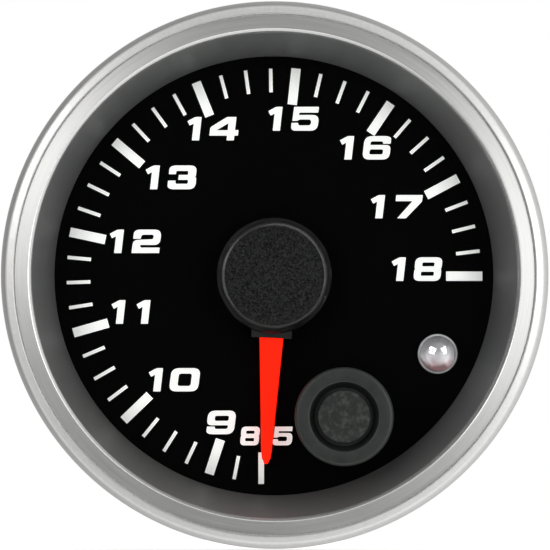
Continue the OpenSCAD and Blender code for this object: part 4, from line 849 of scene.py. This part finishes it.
class BuildLamp(bpy.types.Operator):
    """Builds the warning lamp: clear dome, its rim, the cup inside it and its leads"""
    bl_idname = "gauge.build_lamp"
    bl_label = "Warning lamp"

    def execute(self, context):
        low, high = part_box("warning_lamp")
        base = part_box("dial_plate")[0].y
        centre = middle_of(low, high)
        radius, rim_w, rim_h = 1.98 * MM, 0.19 * MM, 0.5 * MM
        crown = radius * 0.97
        dome = [(0.0, low.y, 0), (radius, low.y, crown), (radius, high.y, 0), (0.0, high.y, 0)]
        bm = spin_profile(dome, steps=96, centre=centre, closed=False, segments=20)
        clear = cast_epoxy("clear cast epoxy", (0.97, 0.95, 0.95), 1.53, 0.02)
        lamp = finish_mesh("lamp_dome", bm, HOUSING, [clear], sharp=40)
        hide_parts("warning_lamp")
        rim = [(radius, base - rim_h, 0.05 * MM), (radius + rim_w, base - rim_h, 0.08 * MM),
               (radius + rim_w, base, 0), (radius, base, 0)]
        bm = spin_profile(rim, steps=96, centre=centre)
        # Painted highlight: the collar is an opaque light grey, standing in for the bright edge that the
        # clear lamp shows at its rim.
        collar = smooth_plastic("clear moulded collar", linear("D4D4D8"), 0.3)
        edge = finish_mesh("lamp_rim", bm, HOUSING, [collar], sharp=40)
        floor_r, floor_h, dish, lip_h = 0.7 * MM, 0.15 * MM, 0.1 * MM, 0.9 * MM
        lip_in, lip_out = radius - 0.1 * MM, radius - 0.02 * MM
        bowl = [(0.0, base - dish, 0), (floor_r, base - floor_h, 0.1 * MM), (lip_in, base - lip_h, 0.04 * MM),
                (lip_out, base - lip_h, 0), (lip_out, base + dish, 0), (0.0, base + dish, 0)]
        bm = spin_profile(bowl, steps=64, centre=centre, closed=False)
        cup = finish_mesh("lamp_reflector", bm, HOUSING, [lamp_reflector(centre)], sharp=50)
        dress("lamp_leads", ground_steel("tinned lamp leads", context.scene.gauge_colours.tin, 0.35))
        return {"FINISHED"}


class BuildButton(bpy.types.Operator):
    """Builds the push button, its stem and the rubber grommet in the lens"""
    bl_idname = "gauge.build_button"
    bl_label = "Push button"

    def execute(self, context):
        s, c = context.scene.gauge_sizes, context.scene.gauge_colours
        low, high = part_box("button_cap")
        centre = middle_of(low, high)
        outer, bore, bore_depth = (high.x - low.x) / 2, 1.4 * MM, 0.4 * MM
        profile = [
            (0.0, low.y, 0), (outer, low.y, s.button_round), (outer, high.y, 0.08 * MM), (bore, high.y, 0),
            (bore, high.y - bore_depth, 0), (0.0, high.y - bore_depth, 0),
        ]
        bm = spin_profile(profile, steps=72, centre=centre, closed=False)
        cap = finish_mesh("button_top", bm, "button", [mottled_rubber(c)], sharp=50)
        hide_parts("button_cap")
        low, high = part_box("button_grommet")
        lens_low, lens_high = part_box("lens")
        outer = (high.x - low.x) / 2
        well, neck, lip, web, web_t = 3.81 * MM, 4.4 * MM, 4.9 * MM, 1.45 * MM, 1.4 * MM
        floor = high.y - web_t
        profile = [
            (well, low.y, 0.14 * MM), (outer, low.y, s.grommet_round), (outer, lens_low.y, 0.05 * MM),
            (neck, lens_low.y, 0), (neck, lens_high.y, 0), (lip, lens_high.y, 0), (lip, high.y, 0.1 * MM),
            (web, high.y, 0), (web, floor, 0), (well - s.well_slope, floor, 0.1 * MM),
        ]
        bm = spin_profile(profile, steps=96, centre=centre)
        grommet = finish_mesh("lens_grommet", bm, HOUSING, [plain_rubber(c)], sharp=50)
        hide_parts("button_grommet")
        dress("button_stem", smooth_plastic("black acetal stem", c.moulded_black, 0.36))
        dress("switch_body", smooth_plastic("black switch housing", c.moulded_black, 0.4))
        dress("switch_plunger", smooth_plastic("grey switch plunger", c.off_white, 0.45))
        return {"FINISHED"}


class FinishInside(bpy.types.Operator):
    """Gives the movement and the boards behind the dial their finishes"""
    bl_idname = "gauge.finish_inside"
    bl_label = "Movement and boards"

    def execute(self, context):
        c = context.scene.gauge_colours
        acetal = smooth_plastic("natural acetal", c.acetal, 0.4, 0.2)
        housing = smooth_plastic("off-white moulded housing", c.off_white, 0.48)
        black = smooth_plastic("black connector plastic", c.moulded_black, 0.45)
        board = board_laminate(c)
        chip = grained_plastic("black epoxy package", linear("1C1C1E"), 0.1, 0.004, (0.5, 0.6), (0.85, 1.2))
        finishes = {
            "output_wheel": acetal, "middle_wheel": acetal, "rotor_pinion": acetal,
            "rotor_magnet": grained_plastic("plastic bonded ferrite", c.ferrite, 0.15, 0.01, (0.45, 0.6)),
            "stator_plate": ground_steel("rolled magnetic steel", c.steel, 0.38),
            "coil_formers": black, "coil_windings": wound_wire(c),
            "movement_terminals": ground_steel("tinned contacts", c.tin, 0.3),
            "movement_cover": housing, "movement_base": housing,
            "display_board": board, "main_board": board,
            "backlight_lamps": smooth_plastic("cast yellow lamp resin", linear("F2E8B0"), 0.3),
            "link_strips": black, "link_pins": worn_brass("gold plated pins", linear("E2C070")),
            "board_screws": plated_steel(c), "control_chip": chip, "voltage_regulator": chip,
            "power_capacitor": ground_steel("drawn aluminium can", c.aluminium, 0.3),
        }
        for node, material in finishes.items():
            dress(node, material)
        return {"FINISHED"}


class BuildCase(bpy.types.Operator):
    """Builds the housing cup, the wiring socket and its pins"""
    bl_idname = "gauge.build_case"
    bl_label = "Housing cup and socket"

    def execute(self, context):
        s, c = context.scene.gauge_sizes, context.scene.gauge_colours
        cup = grained_plastic("fine grained black plastic", c.case_black, 0.3, 0.012, (0.48, 0.62),
                              (0.85, 1.2))
        nylon = smooth_plastic("natural nylon", c.nylon, 0.42, 0.15)
        softened("case_cup", "case_shell", HOUSING, cup, s.soft_edge)
        softened("wiring_socket", "socket_shell", HOUSING, nylon, s.soft_edge)
        dress("socket_pins", ground_steel("tinned socket pins", c.tin, 0.25))
        return {"FINISHED"}


class BuildHardware(bpy.types.Operator):
    """Builds the studs with their threads, the nuts, washers, thumb nuts and the clamp bracket"""
    bl_idname = "gauge.build_hardware"
    bl_label = "Mounting hardware"

    def execute(self, context):
        s, c = context.scene.gauge_sizes, context.scene.gauge_colours
        zinc = plated_steel(c)
        spring = ground_steel("spring steel", c.steel, 0.3)
        brass = worn_brass("knurled brass", c.brass)
        softened("mounting_bracket", "clamp_bracket", HOUSING, zinc, s.soft_edge * 1.5)
        softened("stud_nuts", "hexagon_nuts", HOUSING, zinc, s.soft_edge)
        softened("spring_washers", "split_washers", HOUSING, spring, s.soft_edge * 0.6)
        softened("thumb_nuts", "knurled_nuts", HOUSING, brass, s.soft_edge * 0.7)
        self.studs(s, zinc)
        return {"FINISHED"}

    def studs(self, sizes, zinc):
        """Both studs: a head inside the housing cup, a plain shank and a cut thread."""
        low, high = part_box("mounting_studs")
        rod, head_t, spread, tip_cut = 2.0 * MM, 1.4 * MM, 17.0 * MM, 0.35 * MM
        thread_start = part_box("stud_nuts")[0].y
        head_rear = low.y + head_t
        head_r = high.x - spread
        core = rod * 0.8
        both = bmesh.new()
        for side in (-1, 1):
            shank = spin_profile([
                (0.0, low.y, 0), (head_r, low.y, 0.15 * MM), (head_r, head_rear, 0.05 * MM),
                (rod, head_rear, 0), (rod, thread_start, 0), (core, thread_start, 0),
                (core, high.y, 0.3 * MM), (0.0, high.y, 0)],
                steps=THREAD_STEPS, centre=(side * spread, 0.0), closed=False)
            thread = self.thread(rod, sizes.thread_pitch, thread_start, high.y, high.y - tip_cut)
            bmesh.ops.translate(thread, verts=thread.verts, vec=(side * spread, 0.0, 0.0))
            for part in (shank, thread):
                bmesh.ops.recalc_face_normals(part, faces=part.faces)
                mesh = as_mesh("stud", part)
                both.from_mesh(mesh)
                bpy.data.meshes.remove(mesh)
        piece = place_mesh(as_mesh("threaded_studs", both), HOUSING, [zinc], sharp=35)
        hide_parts("mounting_studs")

    def thread(self, rod, pitch, start, tip, end):
        """A closed ridge that winds round the axis from start to end."""
        bm = bmesh.new()
        foot = rod * 0.83
        spare_turns = 2
        turns = math.ceil((tip - start) / pitch) + spare_turns
        ridge = [bm.verts.new((r, start - pitch + k * pitch / 3, 0.0))
                 for k, r in enumerate((foot, rod, rod, foot))]
        edges = [bm.edges.new(pair) for pair in zip(ridge, ridge[1:])]
        bmesh.ops.spin(bm, geom=ridge + edges, cent=(0, 0, 0), axis=(0, 1, 0), angle=math.tau * turns,
                       steps=THREAD_STEPS * turns, dvec=(0, pitch / THREAD_STEPS, 0), use_merge=False)
        bmesh.ops.remove_doubles(bm, verts=bm.verts, dist=NEAR)
        for level, way in ((start, -1), (end, 1)):
            bmesh.ops.bisect_plane(bm, geom=bm.verts[:] + bm.edges[:] + bm.faces[:], plane_co=(0, level, 0),
                                   plane_no=(0, way, 0), clear_outer=True)
        bmesh.ops.holes_fill(bm, edges=[e for e in bm.edges if e.is_boundary], sides=0)
        return bm


class SetStage(bpy.types.Operator):
    """Sets the floor, the light tent, the soft boxes, the windows and the camera"""
    bl_idname = "gauge.set_stage"
    bl_label = "Stage"

    def execute(self, context):
        scene, stage = context.scene, context.scene.gauge_stage
        scene.view_settings.view_transform = "Standard"
        scene.view_settings.look = "None"
        self.floor(scene.gauge_colours)
        self.tent(scene, stage.tent)
        self.soft_box("light_right", 83, 30, (0.36, 0.22), stage.right_power)
        self.soft_box("light_left", 297, 30, (0.36, 0.155), stage.left_power)
        # Two windows mirror strongly in the lamp's dome, two others faintly in the hub cap's shoulder.
        faint = 0.06
        self.windows("bright", "lamp_dome", ((300, 41), (64, 54)), stage.window_power)
        self.windows("faint", "pointer_cap", ((272, 41), (25, 41)), stage.window_power * faint)
        self.camera(scene, stage)
        return {"FINISHED"}

    def floor(self, colours):
        """A wide matt floor just under the bezel. Mirrors don't show it."""
        half_w, half_d, forward, gap = 1.0, 0.4, 0.15, 0.2 * MM
        bm = bmesh.new()
        bmesh.ops.create_grid(bm, x_segments=1, y_segments=1, size=1.0)
        bmesh.ops.scale(bm, vec=(half_w, half_d, 1.0), verts=bm.verts)
        bmesh.ops.translate(bm, vec=(0.0, -forward, FRONT_LOW.z - gap), verts=bm.verts)
        floor = put("floor", as_mesh("floor", bm))
        floor.data.materials.append(studio_floor(colours))
        floor.visible_glossy = False

    def tent(self, scene, power):
        """A white tent that only the pieces see, with zones round the line of sight and a dark opening for
        the camera, so that the lens stays clear. The background itself is white."""
        world = bpy.data.worlds.new("tent")
        scene.world = world
        world.use_nodes = True
        tree = world.node_tree
        direction = add(tree, "ShaderNodeTexCoord").outputs["Generated"]
        # How far a direction points at the camera, to the brighter lower right, and across the grey flag
        facing, side, across = [
            add(tree, "ShaderNodeVectorMath", {1: way}, {0: direction},
                operation="DOT_PRODUCT").outputs["Value"]
            for way in ((0.0, -1.0, 0.0), (0.3, 0.0, -0.2), (0.707, 0.0, -0.707))]
        half = add(tree, "ShaderNodeMath", {1: 0.5, 2: 0.5}, {0: facing},
                   operation="MULTIPLY_ADD").outputs["Value"]
        zones = self.rings(tree, half, 0.5, (
            (90, 0.6), (74, 0.68), (56, 0.85), (44, 1.05), (36, 1.15), (28, 0.5), (20, 0.12), (13, 0.08),
            (7, 0.0)))
        lean = add(tree, "ShaderNodeMath", {1: power, 2: power}, {0: side},
                   operation="MULTIPLY_ADD").outputs["Value"]
        # A grey flag at the upper left, in the narrow zone that the lower right of the chamfer mirrors
        strip = self.rings(tree, half, 0.0, ((89, 0.0), (85, 1.0), (70, 1.0), (66, 0.0)))
        flag = add(tree, "ShaderNodeMapRange",
                   {"From Min": -0.33, "From Max": 0.33, "To Min": 0.45, "To Max": 1.0},
                   {"Value": across}).outputs["Result"]
        light = add(tree, "ShaderNodeMix", {2: 1.0}, {0: strip, 3: flag}, data_type="FLOAT").outputs[0]
        for part in (lean, zones):
            light = add(tree, "ShaderNodeMath", links={0: part, 1: light},
                        operation="MULTIPLY").outputs["Value"]
        seen = add(tree, "ShaderNodeLightPath").outputs["Is Camera Ray"]
        strength = add(tree, "ShaderNodeMix", {3: 1.0}, {0: seen, 2: light}, data_type="FLOAT")
        background = tree.nodes["Background"]
        background.inputs["Color"].default_value = (1.0, 1.0, 1.0, 1.0)
        tree.links.new(strength.outputs[0], background.inputs["Strength"])

    def rings(self, tree, facing, rear, levels):
        """Greys in rings round the line of sight: the rear's level, then one at each angle off the axis."""
        node = add(tree, "ShaderNodeValToRGB", links={"Fac": facing})
        elements = node.color_ramp.elements
        elements[0].color = (rear, rear, rear, 1.0)
        elements[1].color = (0.0, 0.0, 0.0, 1.0)
        for off_axis, level in levels:
            element = elements.new((math.cos(math.radians(off_axis)) + 1.0) / 2)
            element.color = (level, level, level, 1.0)
        return node.outputs["Color"]

    def soft_box(self, name, dial_angle, off_axis, size, power):
        """A soft box that looks at the gauge from a clock angle on the dial. Its size is outwards, then
        round."""
        distance = 0.55
        around, out = math.radians(dial_angle), math.radians(off_axis)
        place = Vector((math.sin(around) * math.sin(out), -math.cos(out), math.cos(around) * math.sin(out)))
        place = place * distance
        data = bpy.data.lights.new(name, "AREA")
        data.shape = "RECTANGLE"
        data.size, data.size_y = size
        data.energy = power
        light = put(name, data)
        light.location = place
        round_way = Vector((math.cos(around), 0.0, -math.sin(around)))
        back = place.normalized()
        light.rotation_euler = Matrix((round_way.cross(back), round_way, back)).transposed().to_euler()
        return light

    def windows(self, name, piece, places, power):
        """Windows that light only the named piece, each at a clock angle and an angle off the axis."""
        size = (0.5, 0.42)
        lit = bpy.data.collections.new(name)
        lit.objects.link(bpy.data.objects[piece])
        for dial_angle, off_axis in places:
            window = self.soft_box(name + "_" + str(dial_angle), dial_angle, off_axis, size, power)
            window.light_linking.receiver_collection = lit

    def camera(self, scene, stage):
        """A long lens, nearly square to the dial, that aims at the middle of the widest circle."""
        right, rim_level, down = 0.03 * MM, 0.72 * MM, -0.01 * MM
        target = Vector((right, FRONT_LOW.y + rim_level, down))
        away = Vector((-stage.aside, -1.0, -stage.below)).normalized()
        data = bpy.data.cameras.new("camera")
        data.sensor_width = 36.0
        data.lens = data.sensor_width * stage.distance / stage.frame_w
        data.clip_end = 20.0
        camera = put("camera", data)
        camera.location = target + away * stage.distance
        camera.rotation_euler = (-away).to_track_quat("-Z", "Y").to_euler()
        scene.camera = camera


class GaugePanel(bpy.types.Panel):
    """Lists the gauge's pieces, sizes and colours in the sidebar"""
    bl_idname = "VIEW3D_PT_gauge"
    bl_label = "Gauge"
    bl_space_type = "VIEW_3D"
    bl_region_type = "UI"
    bl_category = "Gauge"

    def draw(self, context):
        layout = self.layout
        for operator in OPERATORS:
            layout.operator(operator.bl_idname)
        for group in (context.scene.gauge_sizes, context.scene.gauge_colours, context.scene.gauge_stage):
            box = layout.box()
            for name in group.__annotations__:
                box.prop(group, name)


OPERATORS = (BuildBezel, BuildLens, BuildTrimRing, PrintDial, BuildPointer, BuildLamp, BuildButton,
             FinishInside, BuildCase, BuildHardware, SetStage)
GROUPS = (("gauge_sizes", GaugeSizes), ("gauge_colours", GaugeColours), ("gauge_stage", GaugeStage))


def register():
    """Registers the groups, the operators and the panel."""
    for name, group in GROUPS:
        bpy.utils.register_class(group)
        setattr(bpy.types.Scene, name, bpy.props.PointerProperty(type=group))
    for cls in OPERATORS + (GaugePanel,):
        bpy.utils.register_class(cls)


def unregister():
    """Takes them away again."""
    for cls in reversed(OPERATORS + (GaugePanel,)):
        bpy.utils.unregister_class(cls)
    for name, group in reversed(GROUPS):
        delattr(bpy.types.Scene, name)
        bpy.utils.unregister_class(group)


def main():
    """Builds everything in order."""
    register()
    for operator in OPERATORS:
        group, name = operator.bl_idname.split(".")
        getattr(getattr(bpy.ops, group), name)()


if __name__ == "__main__":
    main()
